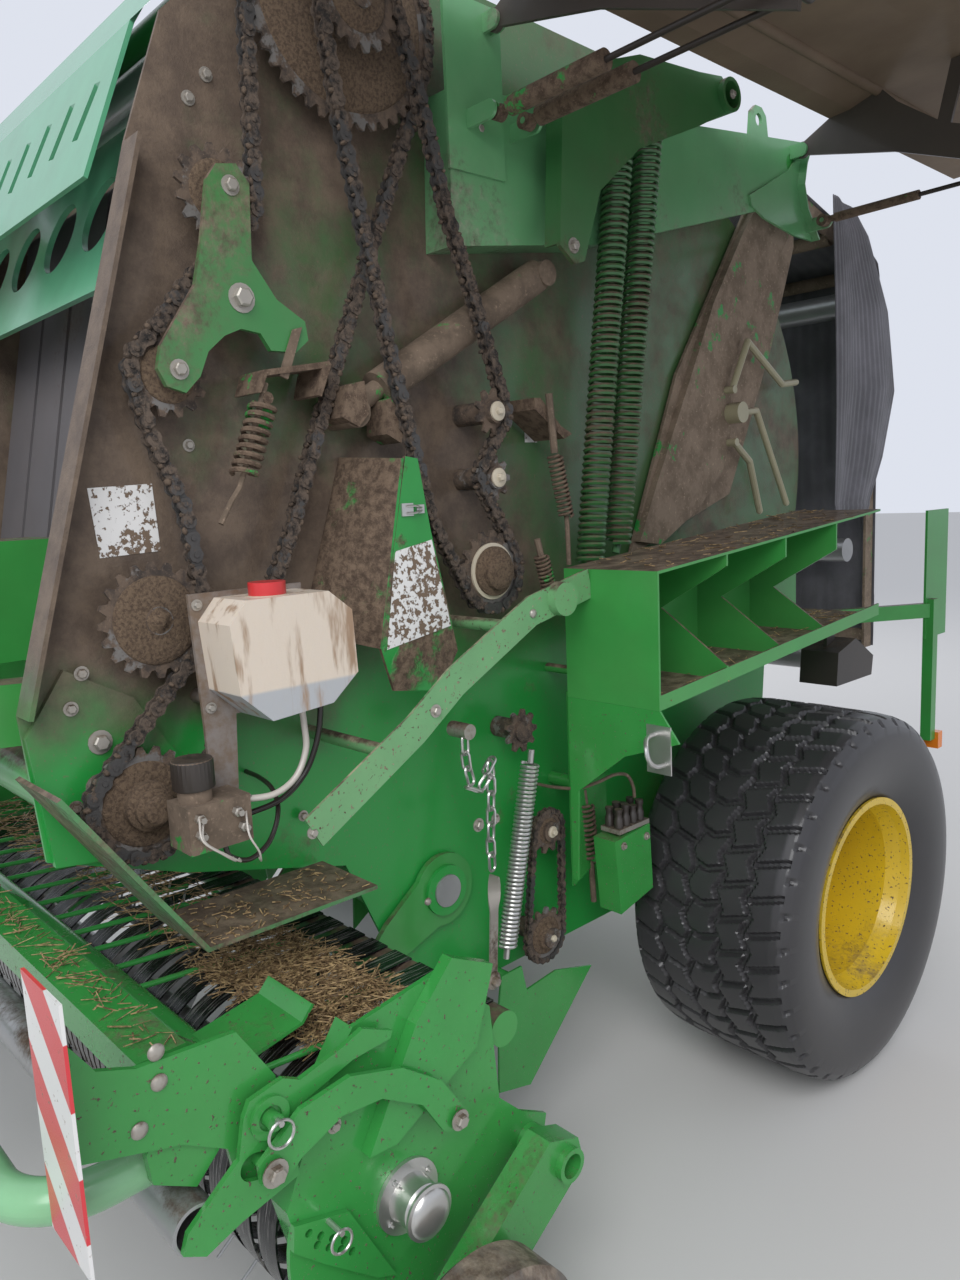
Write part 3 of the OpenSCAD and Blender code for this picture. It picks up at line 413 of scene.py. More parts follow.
FINISHES = {
    "green": enamel("enamel_green", GREEN, 0.32),
    "green_clean": enamel("enamel_green_clean", GREEN, 0.12, 0.25, 0.22, splash=0.02),
    "green_wall": wall_finish(),
    "shield": shield_finish(),
    "lever": enamel("enamel_lever", (0.014, 0.20, 0.040), 0.60, 0.3, 0.35, over=(0.21, 0.155, 0.11)),
    # On the top beams the lighter green and the pale dust colour are a painted sky reflection.
    "beam": enamel("enamel_beam_painted_reflection", (0.07, 0.34, 0.12), 0.50, 0.2, 0.3, over=(0.40, 0.38, 0.30)),
    # The bumper's mint green is lightened further as a painted highlight.
    "bumper": enamel("enamel_bumper_painted_highlight", (0.22, 0.50, 0.26), 0.15, 0.2, 0.25),
    "guard_bar": enamel("enamel_guard_bar", (0.10, 0.34, 0.13), 0.45, 0.3, 0.4, over=(0.40, 0.37, 0.24),
                        splash=0.05),
    "caked": crust("crust_paint", bare=GREEN, share=0.05, depth=0.002),
    "dust_smooth": crust("dust_smooth", (0.185, 0.135, 0.096), (0.120, 0.088, 0.062), 16, 0.0012, GREEN),
    "gate_dust": crust("gate_dust", (0.27, 0.205, 0.150), (0.175, 0.130, 0.092), 14, 0.001, GREEN, 0.02),
    "bow": enamel("bow_dusty", (0.34, 0.32, 0.20), 0.30, 0.3, 0.45, over=(0.50, 0.42, 0.30)),
    # This dark green enamel uses the green darkened as painted shade.
    "green_dark": enamel("enamel_green_dark", PAINTED_SHADE_GREEN, 0.50, 0.3, 0.38),
    "green_topped": enamel("enamel_green_topped", GREEN, 0.16, 0.95, 0.3, over=(0.24, 0.18, 0.125)),
    "tray": enamel("enamel_tray", (0.05, 0.25, 0.08), 0.62, 0.55, 0.4, over=(0.20, 0.145, 0.100)),
    "chain": crust("crust_chain", (0.115, 0.085, 0.064), (0.016, 0.014, 0.013), 60, 0.0015,
                   bare=(0.055, 0.052, 0.050), share=0.10),
    "crumbs": crust("crust_crumbs", (0.13, 0.092, 0.064), (0.035, 0.026, 0.020), 90, 0.003),
    "sprocket": crust("crust_sprocket", (0.13, 0.092, 0.066), (0.045, 0.035, 0.029), 30, 0.003,
                      bare=(0.16, 0.15, 0.14), share=0.10),
    "earth": crust("crust_earth", (0.19, 0.130, 0.082), (0.085, 0.055, 0.036), 150, 0.006),
    "mint": enamel("enamel_mint", MINT, 0.10, 0.2, 0.25),
    "yellow": enamel("enamel_yellow", YELLOW, 0.42, 0.1, 0.3, splash=0.05),
    "black": enamel("plastic_black", BLACK, 0.25, 0.3, 0.5),
    "black_gloss": enamel("rubber_gloss", BLACK, 0.05, 0.2, 0.2),
    "steel": enamel("zinc_dusty", ZINC, 0.35, 0.2, 0.3, metal=0.6),
    "zinc": enamel("zinc_clean", (0.62, 0.62, 0.60), 0.10, 0.2, 0.28, metal=0.85),
    "bolt": enamel("zinc_bolts", (0.42, 0.40, 0.36), 0.5, 0.2, 0.4, metal=0.5, over=PALE_DUST),
    "dark_arm": enamel("arm_dark", (0.055, 0.048, 0.044), 0.35, 0.3, 0.6),
    "cream": enamel("plastic_cream", (0.62, 0.55, 0.42), 0.15, 0.2, 0.45),
    "belt": enamel("belt_rubber", (0.10, 0.10, 0.11), 0.30, 0.2, 0.6),
    "tyre": enamel("tyre_rubber", (0.020, 0.020, 0.023), 0.22, 0.05, 0.42, over=(0.11, 0.10, 0.095)),
    "gauge_tyre": enamel("tyre_grey", (0.10, 0.095, 0.09), 0.45, 0.1, 0.7, over=PALE_DUST),
    "canvas": cloth_finish("canvas_grey", (0.17, 0.165, 0.185), 0.003),
    "tank": tank_finish(),
    "milky": enamel("hose_milky", (0.60, 0.56, 0.50), 0.22, 0.2, 0.35),
    "red": enamel("red_plastic", (0.66, 0.02, 0.03), 0.1, 0.2, 0.35),
    "orange": enamel("orange_lens", (0.85, 0.22, 0.01), 0.1, 0.2, 0.2),
    "panel": panel_finish(),
    "boards": board_finish(),
    "bands": band_finish(),
    "film": film_finish("film_white", 0.16),
    "film_worn": film_finish("film_worn", 0.38),
    "straw": straw_finish(),
}
print(len(FINISHES), "finishes")

# %% Which finish each CAD node has
FINISH_OF = {
    "side_walls": "green_wall", "front_guard": "mint", "belts": "belt", "chamber_rollers": "steel",
    "sprockets": "sprocket", "oil_tank": "tank", "oil_cap": "red",
    "oil_pump": "dust_smooth", "chain_tensioner": "lever", "label_shield": "shield",
    "drip_tray": "tray", "tension_cylinders": "dust_smooth",
    "crank_plates": "green_dark", "twine_boxes": "green_topped", "top_beams": "beam",
    "gate_frame": "gate_dust", "gate_bows": "bow", "gate_rollers": "steel",
    "panel_left": "panel", "panel_arms_left": "dark_arm", "panel_arms_right": "dark_arm",
    "strut_barrel_left": "caked", "strut_barrel_right": "black", "strut_rod_left": "black",
    "strut_rod_right": "black", "pickup_bands": "bands", "pickup_reel": "steel", "reel_hubs": "zinc",
    "rim_left": "yellow", "rim_right": "yellow",
    "gauge_wheel_left": "gauge_tyre", "gauge_wheel_right": "gauge_tyre", "wheel_chock": "black",
    "rear_lamps": "orange", "guard_bars": "guard_bar", "pickup_shields": "green_clean",
    "lift_arms": "green_clean", "bumper": "bumper", "wind_guard": "green_clean",
    "press_roller": "steel", "jack_leg": "steel", "warning_boards": "boards", "rotor_stubs": "steel",
    "wheel_fenders": "green_clean", "hole_beam": "mint",
}


def clad(node, material):
    """Gives a CAD node's object one material."""
    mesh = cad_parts[node].data
    mesh.materials.clear()
    mesh.materials.append(material)


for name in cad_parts:
    clad(name, FINISHES[FINISH_OF.get(name, "green")])
print(len(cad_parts), "nodes finished")

# %% [markdown]
# ## Shapes as arrays
#
# Every added shape is a pair: an array of points and a list of faces. Modifiers could build
# many of them, but arrays say in one formula where each point lies, and the sizes stay next
# to it. `loft` skins a stack of rings, and the rest are ways to make rings: a tube carries a
# circle along a path, a turned part spins a profile, a slab pushes an outline sideways, a
# coil winds a wire. `copies` repeats one small shape at many places with one matrix product.

# %% Shapes


def unit(vectors):
    """Vectors divided by their own lengths."""
    return vectors / np.linalg.norm(vectors, axis=-1, keepdims=True)


def quads(rows, columns, closed=False, round_row=True):
    """Faces of a grid of points, each with its neighbours below and beside. Closed joins the last row to
    the first, and round_row joins the last column to the first."""
    r, c = np.meshgrid(np.arange(rows if closed else rows - 1),
                       np.arange(columns if round_row else columns - 1), indexing="ij")
    below, beside = (r + 1) % rows, (c + 1) % columns
    corners = [r * columns + c, r * columns + beside, below * columns + beside, below * columns + c]
    return np.stack(corners, -1).reshape(-1, 4).tolist()


def loft(rings, closed=False):
    """Skin over rows x columns x 3 points; each row is a ring. Closed joins the last row to the first,
    and otherwise flat ends cap it."""
    rows, columns = rings.shape[:2]
    faces = quads(rows, columns, closed)
    if not closed:
        faces += [list(range(columns)), list(range((rows - 1) * columns, rows * columns))]
    return rings.reshape(-1, 3), faces


def merge(shapes):
    """Several shapes as one."""
    starts = np.cumsum([0] + [len(points) for points, _ in shapes])
    faces = [[int(start) + v for v in face] for start, (_, f) in zip(starts, shapes) for face in f]
    return np.concatenate([points for points, _ in shapes]), faces


def circle(sides):
    """Cosine and sine at equal steps once round."""
    angle = np.linspace(0, 2 * np.pi, sides, endpoint=False)
    return np.cos(angle)[:, None], np.sin(angle)[:, None]


def tube(path, radius, sides=8, closed=False):
    """At each path point a circle of that radius, square to the path."""
    path = np.asarray(path, float)
    ahead = np.roll(path, -1, 0) - np.roll(path, 1, 0) if closed else np.gradient(path, axis=0)
    ahead = unit(ahead)
    level = np.eye(3)[np.abs(ahead).mean(0).argmin()]
    side = unit(np.cross(ahead, level))
    up = np.cross(side, ahead)
    cos, sin = circle(sides)
    radii = np.broadcast_to(np.asarray(radius, float), len(path))[:, None, None]
    return loft(path[:, None] + radii * (cos * side[:, None] + sin * up[:, None]), closed)


def turned_part(profile, centre, sides=24, axis=0):
    """A profile of (distance along the axis, radius) pairs spun about X, Y or Z through centre."""
    profile = np.asarray(profile, float)
    cos, sin = circle(sides)
    ring = np.zeros((len(profile), sides, 3))
    ring[..., axis] = profile[:, :1]
    ring[..., (axis + 1) % 3] = profile[:, 1:] * cos.T
    ring[..., (axis + 2) % 3] = profile[:, 1:] * sin.T
    return loft(ring + np.asarray(centre, float))


def slab(outline, x0, x1):
    """An outline of (y, z) pairs, solid from x0 to x1."""
    outline = np.asarray(outline, float)
    return loft(np.stack([np.column_stack([np.full(len(outline), x), outline]) for x in (x0, x1)]))


def block(low, high):
    """A box between two corners."""
    (x0, y0, z0), (x1, y1, z1) = low, high
    return slab([[y0, z0], [y1, z0], [y1, z1], [y0, z1]], x0, x1)


def coil(start, end, radius, wire, turns, sides=6, steps=14):
    """A wire wound round the line from start to end: the line, plus the radius out at a turning angle."""
    start, end = np.asarray(start, float), np.asarray(end, float)
    t = np.linspace(0, 1, int(turns * steps) + 1)[:, None]
    along = unit(end - start)
    u = unit(np.cross(along, [0.1, 0.2, 1.0]))
    v = np.cross(along, u)
    out = np.cos(2 * np.pi * turns * t) * u + np.sin(2 * np.pi * turns * t) * v
    centre = start + t * (end - start) + radius * out
    cos, sin = circle(sides)
    return loft(centre[:, None] + wire * (cos * out[:, None] + sin * along))


def copies(shape, places, axes=np.eye(3)):
    """One shape at many places; axes holds three directions as rows, for each place or for all."""
    points, faces = shape
    moved = np.asarray(places, float)[:, None] + points @ np.asarray(axes, float)
    longest = max(map(len, faces))
    faces = np.asarray([f + [-1] * (longest - len(f)) for f in faces])
    many = np.where(faces < 0, -1, faces + np.arange(len(moved))[:, None, None] * len(points))
    return moved.reshape(-1, 3), [[v for v in f if v >= 0] for f in many.reshape(-1, longest).tolist()]


def mirrored(shape):
    """The same shape on the machine's other side."""
    return shape[0] * RIGHT, shape[1]


def both_sides(shapes):
    """Shapes of the left side, with their mirror images after them."""
    return shapes + [mirrored(s) for s in shapes]


def run_along(line):
    """For each point of a bent line, the line's length up to it."""
    return np.concatenate([[0], np.cumsum(np.linalg.norm(np.diff(line, axis=0), axis=1))])


def points_at(line, distances):
    """Points on a bent line at given distances along it: each coordinate interpolated over the length."""
    run = run_along(line)
    return np.stack([np.interp(distances, run, column) for column in np.asarray(line).T], 1)


def lumps(points, size, seed=1):
    """Smooth noise from about -1 to 1: sines of wavelengths near size in random directions, summed."""
    draw = np.random.default_rng(seed)
    ways = unit(draw.normal(size=(14, 3))) * draw.uniform(0.6, 1.8, (14, 1)) * 2 * np.pi / size
    return np.sin(points @ ways.T + draw.uniform(0, 2 * np.pi, 14)).sum(-1) / 4.5


def piece(name, shapes, body, finish, stands_for=(), crease=38):
    """A finished mesh in its place, which rides on a body and may stand for CAD nodes."""
    points, faces = merge(shapes) if isinstance(shapes, list) else shapes
    mesh = bpy.data.meshes.new(name)
    mesh.from_pydata(at(points), [], faces)
    work = bmesh.new()
    work.from_mesh(mesh)
    bmesh.ops.recalc_face_normals(work, faces=work.faces)
    work.to_mesh(mesh)
    work.free()
    mesh.shade_smooth()
    mesh.set_sharp_from_angle(angle=math.radians(crease))
    mesh.materials.append(FINISHES[finish])
    made = in_scene(name, mesh)
    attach(made, body)
    if stands_for:
        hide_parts(*stands_for)
    print(name, sum(len(f) - 2 for f in faces), "triangles")
    return made


# %% [markdown]
# ## Roller chains
#
# Three closed chains run over the sprockets on the left side. Each path is a loop in the
# (y, z) plane: arcs round the sprockets, 8 mm above their tooth roots, joined by straight
# stretches. An array along a curve could lay the links, but it would stretch them. Here the
# loop is cut into equal steps of one pitch first. Narrow and wide links take turns, and
# every pin has its roller. A row of SPROCKETS is the axle's y and z and the root's radius.

# %% Chain paths
INNER_CHAIN, OUTER_CHAIN, SMALL_CHAIN = 668, 726, 700
HEAVY_PITCH, LIGHT_PITCH = 31.75, 19.05
SPROCKETS = [
    [-1235, 2650, 215], [-1240, 2645, 85], [-1740, 1472, 92], [-1795, 1138, 92], [-1545, 2245, 70],
    [-1675, 1912, 62], [-920, 1860, 38], [-925, 1710, 38], [-945, 1495, 80], [-755, 800, 45],
    [-780, 520, 60], [-840, 1085, 40],
]
OVER_ROOT = 8


def wrap(number, first, last):
    """Points round a sprocket between two angles in degrees."""
    y, z, root = SPROCKETS[number]
    angle = np.radians(np.linspace(first, last, 12))
    return [[y + (root + OVER_ROOT) * np.cos(a), z + (root + OVER_ROOT) * np.sin(a)] for a in angle]


CHAINS = [
    (INNER_CHAIN, HEAVY_PITCH, wrap(0, -32, 188) + wrap(4, -1, -35) + [[-1615, 2085]] + wrap(5, 115, 205)
     + [[-1715, 1795], [-1665, 1670]] + wrap(2, 22, -45) + wrap(3, 158, 318)
     + [[-1445, 1610], [-1320, 1920]]),
    (OUTER_CHAIN, HEAVY_PITCH, wrap(1, 16, 188) + [[-1300, 2405], [-1205, 1960], [-1120, 1625]]
     + wrap(8, 215, 395) + wrap(7, 190, 130) + wrap(6, -55, 15)
     + [[-945, 2060], [-1035, 2285], [-1080, 2455]]),
    (SMALL_CHAIN, LIGHT_PITCH, wrap(9, 10, 170) + wrap(10, 188, 352)),
]


def pins_along(loop, pitch):
    """Pins at equal steps along a closed loop, an even number of them, nearest to the pitch."""
    loop = np.asarray(loop + loop[:1])
    length = run_along(loop)[-1]
    count = 2 * round(length / pitch / 2)
    return points_at(loop, np.linspace(0, length, count, endpoint=False))


# %% Links, rollers and pins
PLATE_THICK = 3.5


def link_plate(pitch, x):
    """Side plate: round ends about both pins and a narrower waist between, in (x, along, out) axes."""
    radius = pitch * 0.46
    near, far = np.radians([-140, -110, -80, -50]), np.radians([-130, -90, -45, 0])
    low = [[radius * np.cos(a), radius * np.sin(a)] for a in near] + [[pitch / 2, -0.30 * pitch]]
    low += [[pitch + radius * np.cos(a), radius * np.sin(a)] for a in far]
    outline = low + [[along, -out] for along, out in low[::-1][1:]]
    return slab(outline, x - PLATE_THICK / 2, x + PLATE_THICK / 2)


def roller_chain(x, pitch, loop):
    """All links, rollers and pins of one chain, with the pins' places and the links' directions. A link
    points from its pin to the next one."""
    pins = pins_along(loop, pitch)
    ahead = np.roll(pins, -1, 0) - pins
    axes = np.zeros((len(pins), 3, 3))
    axes[:, 0, 0] = 1
    axes[:, 1, 1:] = ahead / pitch
    axes[:, 2, 1:] = np.stack([-ahead[:, 1], ahead[:, 0]], 1) / pitch
    places = np.column_stack([np.full(len(pins), x), pins])
    roller = turned_part([[-0.22 * pitch, 0.30 * pitch], [0.22 * pitch, 0.30 * pitch]], (0, 0, 0), 8)
    pin = turned_part([[-0.50 * pitch, 0.17 * pitch], [0.50 * pitch, 0.17 * pitch]], (0, 0, 0), 6)
    wide, narrow = [merge([link_plate(pitch, side * out * pitch) for side in (1, -1)])
                    for out in (0.37, 0.25)]
    return [copies(wide, places[::2], axes[::2]), copies(narrow, places[1::2], axes[1::2]),
            copies(merge([roller, pin]), places, axes)], places, axes


def clods(places, axes, size, seed):
    """Small six-sided lumps of crust, each turned and sized at random."""
    draw = np.random.default_rng(seed)
    seedling = turned_part([[-1, 0.35], [-0.5, 0.9], [0.3, 1.0], [0.9, 0.5]], (0, 0, 0), 6)
    scale = draw.uniform(0.5, 1.15, (len(places), 3, 1)) * size
    spots = np.asarray(places) + draw.normal(size=(len(places), 3)) * size * 0.25
    return copies(seedling, spots, unit(np.asarray(axes)) * scale)


chain_shapes = []
crumb_shapes = []
for number, (x, pitch, loop) in enumerate(CHAINS):
    shapes, places, axes = roller_chain(x, pitch, loop)
    chain_shapes += shapes
    middle = places + axes[:, 1] * pitch / 2
    if pitch == HEAVY_PITCH:
        for side in (1, -1):
            beside = middle + axes[:, 0] * 8 * side - axes[:, 2] * 9 * side
            crumb_shapes.append(clods(beside, axes, 8, number))
piece("roller_chains", chain_shapes, "chassis", "chain", ["drive_chains"], 50)
piece("chain_crumbs", crumb_shapes, "chassis", "crumbs", crease=80)

# %% [markdown]
# ## Dirt on the sprockets
#
# Oil and dust have built a domed cake on each sprocket's face inside its teeth. A flattened
# ball would be too even. So a dome is a grid of rings whose height falls off towards the
# rim, ever faster, and the noise of `lumps` roughens it. It stands on the sprocket's face,
# 4 mm outside the middle of the chain. A row of DOMES is the chain's plane, the
# sprocket's number, the dome's radius and height, and how far its hub rises.

# %% Domes of dirt
FACE_OUT = 4
DOME_RINGS = np.array([1.0, 0.985, 0.95, 0.88, 0.78, 0.66, 0.54, 0.42, 0.30, 0.22, 0.16, 0.08, 0.01])
DOMES = [
    [INNER_CHAIN, 0, 198, 16, 0], [OUTER_CHAIN, 1, 66, 10, 8], [INNER_CHAIN, 2, 82, 12, 12],
    [INNER_CHAIN, 3, 80, 8, 0], [INNER_CHAIN, 4, 58, 8, 0], [INNER_CHAIN, 5, 52, 8, 0],
    [OUTER_CHAIN, 8, 40, 6, 0], [SMALL_CHAIN, 9, 34, 5, 0], [SMALL_CHAIN, 10, 50, 6, 0],
]


def axle(number):
    """The middle of a sprocket's axle, at x = 0."""
    return (0, *SPROCKETS[number][:2])


def dome(x, number, radius, height, hub, seed):
    """Rings of 40 points at shares r of the radius; height times (1 - r squared) to the power 0.4, plus
    noise. A hub rises in the middle."""
    share = DOME_RINGS[:, None]
    cos, sin = circle(40)
    flat = np.stack([np.zeros_like(share * cos.T), share * radius * cos.T, share * radius * sin.T], -1)
    rise = height * (1 - share ** 2) ** 0.4 + hub * np.clip(1.6 - share / 0.16, 0, 1)
    rise = rise + lumps(flat, radius * 0.30, seed) * height * 0.06 * (share < 0.97)
    flat[..., 0] = rise + x + FACE_OUT
    return loft(flat + axle(number))


piece("sprocket_dirt", [dome(*row, seed) for seed, row in enumerate(DOMES, 1)], "chassis", "earth")

# %% [markdown]
# ## Hubs and idlers
#
# The lower sprocket has a stepped hub, and the two idlers and the lower drive sprocket show
# pale washers with a bolt in the middle. All are turned parts, as they would come off a
# lathe: a profile spun about its sprocket's axle.

# %% Hubs and idlers


def washer_face(x, number, radius, thick=5, bolt=9):
    """A round washer with a hexagon bolt head on it, on a sprocket's axle."""
    washer = [[x, radius], [x + thick - 1, radius], [x + thick, radius - 1.5]]
    head = [[x + thick, bolt], [x + thick + 7, bolt], [x + thick + 9, bolt * 0.8]]
    return [turned_part(washer, axle(number), 28), turned_part(head, axle(number), 6)]


piece("lower_hub", [
    turned_part([[672, 46], [700, 46], [704, 42], [706, 36], [716, 36], [719, 32], [721, 26], [734, 26],
                 [737, 22], [738, 14]], axle(3), 32),
    turned_part([[730, 58], [744, 58], [748, 50], [750, 44], [762, 42], [768, 34], [770, 20]], axle(8), 32),
    turned_part([[704, 36], [716, 34], [722, 28], [724, 20]], axle(10), 28),
], "chassis", "earth")
piece("idler_faces", washer_face(745, 6, 22) + washer_face(745, 7, 22) + washer_face(724, 10, 22)
      + washer_face(716, 9, 15), "chassis", "cream")
drive_ring = turned_part([[730, 66], [735, 66], [736, 60], [736, 46], [730, 46]], axle(8), 40)
piece("drive_ring", drive_ring, "chassis", "cream")

# %% [markdown]
# ## Coil springs
#
# Two pairs of long tension springs pull the crank on each side, a stout one holds the chain
# tensioner and small ones the idlers. A screw modifier winds a wire too, but `coil` winds it
# straight from hook to hook, whatever way the spring leans. The long springs are close
# wound, with about half a wire's width between turns. Hooks finish the ends that show.

# %% Long springs on both sides
LONG_SPRINGS = [[(745, -455, 2512), (745, -610, 1480)], [(745, -329, 2574), (745, -497, 1530)]]
LONG_TURNS = 60
long_shapes = []
for top, foot in LONG_SPRINGS:
    long_shapes.append(coil(top, foot, 32, 6.0, LONG_TURNS))
    long_shapes.append(tube([foot, (745, foot[1] - 8, foot[2] - 25)], 11))
    long_shapes.append(tube([top, (745, top[1] + 6, top[2] + 22)], 11))
piece("long_springs", both_sides(long_shapes), "chassis", "green_dark", ["tension_springs"])

# %% Small springs, rods and links
piece("small_springs", [
    coil((712, -1507, 1862), (712, -1562, 1728), 24, 5.0, 9),
    turned_part([[706, 12], [718, 12]], (0, -1500, 1872), 8),
    coil((752, -738, 1760), (752, -702, 1610), 17, 3.5, 14),
    coil((742, -788, 1520), (742, -758, 1415), 17, 3.5, 11),
    coil((735, -640, 850), (735, -626, 690), 19, 4.0, 12),
], "chassis", "caked")
piece("spring_rods", [
    tube([(712, -1500, 1900), (712, -1565, 1722), (712, -1572, 1705), (712, -1592, 1680),
          (712, -1617, 1640)], 6),
    tube([(752, -752, 1905), (752, -738, 1765)], 9),
    tube([(752, -702, 1612), (752, -700, 1590), (752, -698, 1490)], 6),
    tube([(742, -800, 1560), (742, -788, 1520)], 8),
    tube([(742, -758, 1415), (742, -750, 1380)], 6),
    tube([(735, -646, 890), (735, -640, 850)], 6),
    tube([(735, -626, 690), (735, -620, 570)], 8),
    slab([[-1436, 2002], [-1416, 2008], [-1456, 1908], [-1474, 1914]], 717, 723),
], "chassis", "dust_smooth")
piece("spring_seats", [
    slab([[-1512, 1922], [-1362, 1947], [-1357, 1940], [-1385, 1878], [-1395, 1880], [-1380, 1932],
          [-1505, 1912], [-1520, 1880], [-1528, 1880]], 640, 728),
    slab([[-1330, 1840], [-1310, 1905], [-1270, 1915], [-1262, 1850], [-1290, 1822]], 640, 716),
    slab([[-1216, 1808], [-1212, 1880], [-1160, 1892], [-1150, 1815], [-1180, 1790]], 640, 712),
    slab([[-790, 1868], [-690, 1800], [-660, 1812], [-700, 1830], [-770, 1895], [-792, 1895]], 640, 742),
], "chassis", "caked")

# %% [markdown]
# ## Tyre tread
#
# The big flotation tyres have a wavy block pattern. Blocks set on a smooth tyre one by one
# would leave seams, so a tyre is one grid: the angle round the wheel by the arc across its
# section. Each grid point starts on the smooth section and moves by the tread's height,
# which is a formula of the angle and of the distance from the middle: blocks stand between
# zig-zag grooves and wavy cross grooves. HALF_SECTION holds radius and distance from the
# middle, from the rim to the crown, and the tread starts at its point SHOULDER.

# %% Tyre section and tread
AXLE_HEIGHT = 515
TRACK_HALF = 1000
BLOCKS_ROUND = 36
STEPS_PER_BLOCK = 22
GROOVE_DEPTH = 13
TREAD_RISE = 6
ZIGZAG = 11
GROOVES_ACROSS = (-128, -44, 44, 128)
ROW_WIDTH = 86
SHOULDER = 6
HALF_SECTION = np.array([
    [270, 198], [300, 217], [330, 231], [375, 242], [420, 245], [455, 242], [480, 235], [497, 216],
    [503, 195], [507, 150], [507, 75],
], float)
SECTION = np.concatenate([HALF_SECTION * [1, -1], [[508, 0]], HALF_SECTION[::-1]])


def smooth_step(value, low, high):
    """0 below low, 1 above high, and three t squared minus two t cubed between."""
    t = np.clip((value - low) / (high - low), 0, 1)
    return t * t * (3 - 2 * t)


def tread_height(angle, across):
    """Height between 0 and 1: zig-zag grooves at fixed distances from the middle, and wavy cross grooves,
    shifted by half a block from row to row."""
    turn = angle * BLOCKS_ROUND / (2 * np.pi)
    zigzag = ZIGZAG * (2 * np.abs(2 * (turn % 1) - 1) - 1)
    height = np.ones(np.broadcast(angle, across).shape)
    for line in GROOVES_ACROSS:
        height = np.minimum(height, smooth_step(np.abs(across - line - zigzag), 5, 10))
    row = np.floor((across + 212) / ROW_WIDTH)
    cross = (turn + 0.5 * (row % 2) + 0.0035 * np.abs(across)) % 1
    return np.minimum(height, smooth_step(np.minimum(cross, 1 - cross), 0.05, 0.12))


def tyre(side):
    """A closed ring of rings: the section at each angle round the wheel. Its points are dense between
    the shoulders, where the tread is."""
    length = run_along(SECTION)
    first, last = length[SHOULDER], length[-1 - SHOULDER]
    dense = np.unique(np.concatenate([np.linspace(0, first, 9), np.linspace(first, last, 92),
                                      np.linspace(last, length[-1], 9)]))
    radius, across = points_at(SECTION, dense).T
    angle = np.linspace(0, 2 * np.pi, BLOCKS_ROUND * STEPS_PER_BLOCK, endpoint=False)[:, None]
    belt = smooth_step(radius, 478, 497)
    r = radius + belt * GROOVE_DEPTH * (tread_height(angle, across) - 1) + belt * TREAD_RISE
    x = np.broadcast_to(side * (TRACK_HALF + across), r.shape)
    ring = np.stack([x, r * np.cos(angle), AXLE_HEIGHT + r * np.sin(angle)], -1)
    return loft(ring, closed=True)


for side, name in ((1, "left"), (-1, "right")):
    piece("tread_" + name, tyre(side), "wheel_" + name[0], "tyre", ["tyre_" + name], 30)

# %% [markdown]
# ## Wheel nuts
#
# Eight nuts on studs hold each rim to its hub, and a cap closes the hub. One nut is made, as
# three short turned parts, and copied round the axle, because all eight are alike.

# %% Wheel nuts and hub caps


def ring_of_nuts(x, y, z, radius, count, nut, height, start=0.0):
    """Six-sided nuts at equal angles about an axle along X, standing out to +X."""
    angle = start + np.linspace(0, 2 * np.pi, count, endpoint=False)
    places = np.stack([np.full(count, x), y + radius * np.cos(angle), z + radius * np.sin(angle)], 1)
    return copies(merge([
        turned_part([[0, nut * 1.3], [3, nut * 1.3]], (0, 0, 0), 10),
        turned_part([[3, nut], [height - 2, nut], [height, nut * 0.75]], (0, 0, 0), 6),
        turned_part([[height, nut * 0.5], [height + 8, nut * 0.5]], (0, 0, 0), 6),
    ]), places)


for side, name in ((LEFT, "l"), (RIGHT, "r")):
    nuts = ring_of_nuts(945, 0, AXLE_HEIGHT, 103, 8, 13, 16)
    cap = turned_part([[1020, 60], [1024, 66], [1040, 66], [1052, 58], [1058, 40], [1060, 10]],
                      (0, 0, AXLE_HEIGHT), 32)
    piece("wheel_nuts_" + name, (nuts[0] * side, nuts[1]), "wheel_" + name, "bolt")
    piece("hub_cap_" + name, (cap[0] * side, cap[1]), "wheel_" + name, "green_clean")

# %% [markdown]
# ## Bolts
#
# Bolt heads are the small fasteners that make a machine look assembled. A list is the
# plainest way to place them. Each row says where one stands: x, y, z, its head's radius and,
# for a domed carriage bolt, a 1.

# %% Bolts on the chassis and on the pickup
CHASSIS_BOLTS = [
    [717, -1545, 2245, 12, 0], [717, -1540, 2050, 18, 0], [717, -1675, 1915, 12, 0],
    [630, -1850, 1260, 15, 0], [630, -1862, 1180, 15, 0], [630, -1905, 1150, 9, 0],
    [630, -1895, 1330, 9, 0], [630, -1870, 1390, 9, 0], [630, -1440, 1010, 8, 0],
    [616, -1560, 2420, 9, 0], [616, -1520, 2470, 9, 0], [616, -1620, 1790, 8, 0],
    [752, -1700, 1500, 7, 0], [752, -1690, 1310, 7, 0], [704, -900, 2480, 9, 0],
    [706, -620, 2540, 9, 0], [815, -45, 2718, 8, 0], [798, -700, 2240, 12, 0],
    [911, -1290, 1250, 9, 0], [911, -915, 1436, 9, 0], [911, -1000, 1412, 10, 1],
    [746, -1040, 905, 11, 0], [746, -985, 905, 9, 0], [746, -1205, 770, 9, 1],
    [870, -655, 770, 7, 0], [870, -560, 770, 7, 0], [905, -1590, 1080, 8, 0],
]
PICKUP_BOLTS = [
    [1080, -1985, 905, 13, 1], [1080, -1985, 858, 13, 1], [1080, -2020, 800, 13, 1],
    [1132, -1842, 660, 15, 0], [1132, -1468, 555, 13, 0],
    [1185, -1550, 193, 22, 0], [1080, -1700, 640, 9, 0], [1080, -1400, 720, 11, 1],
]


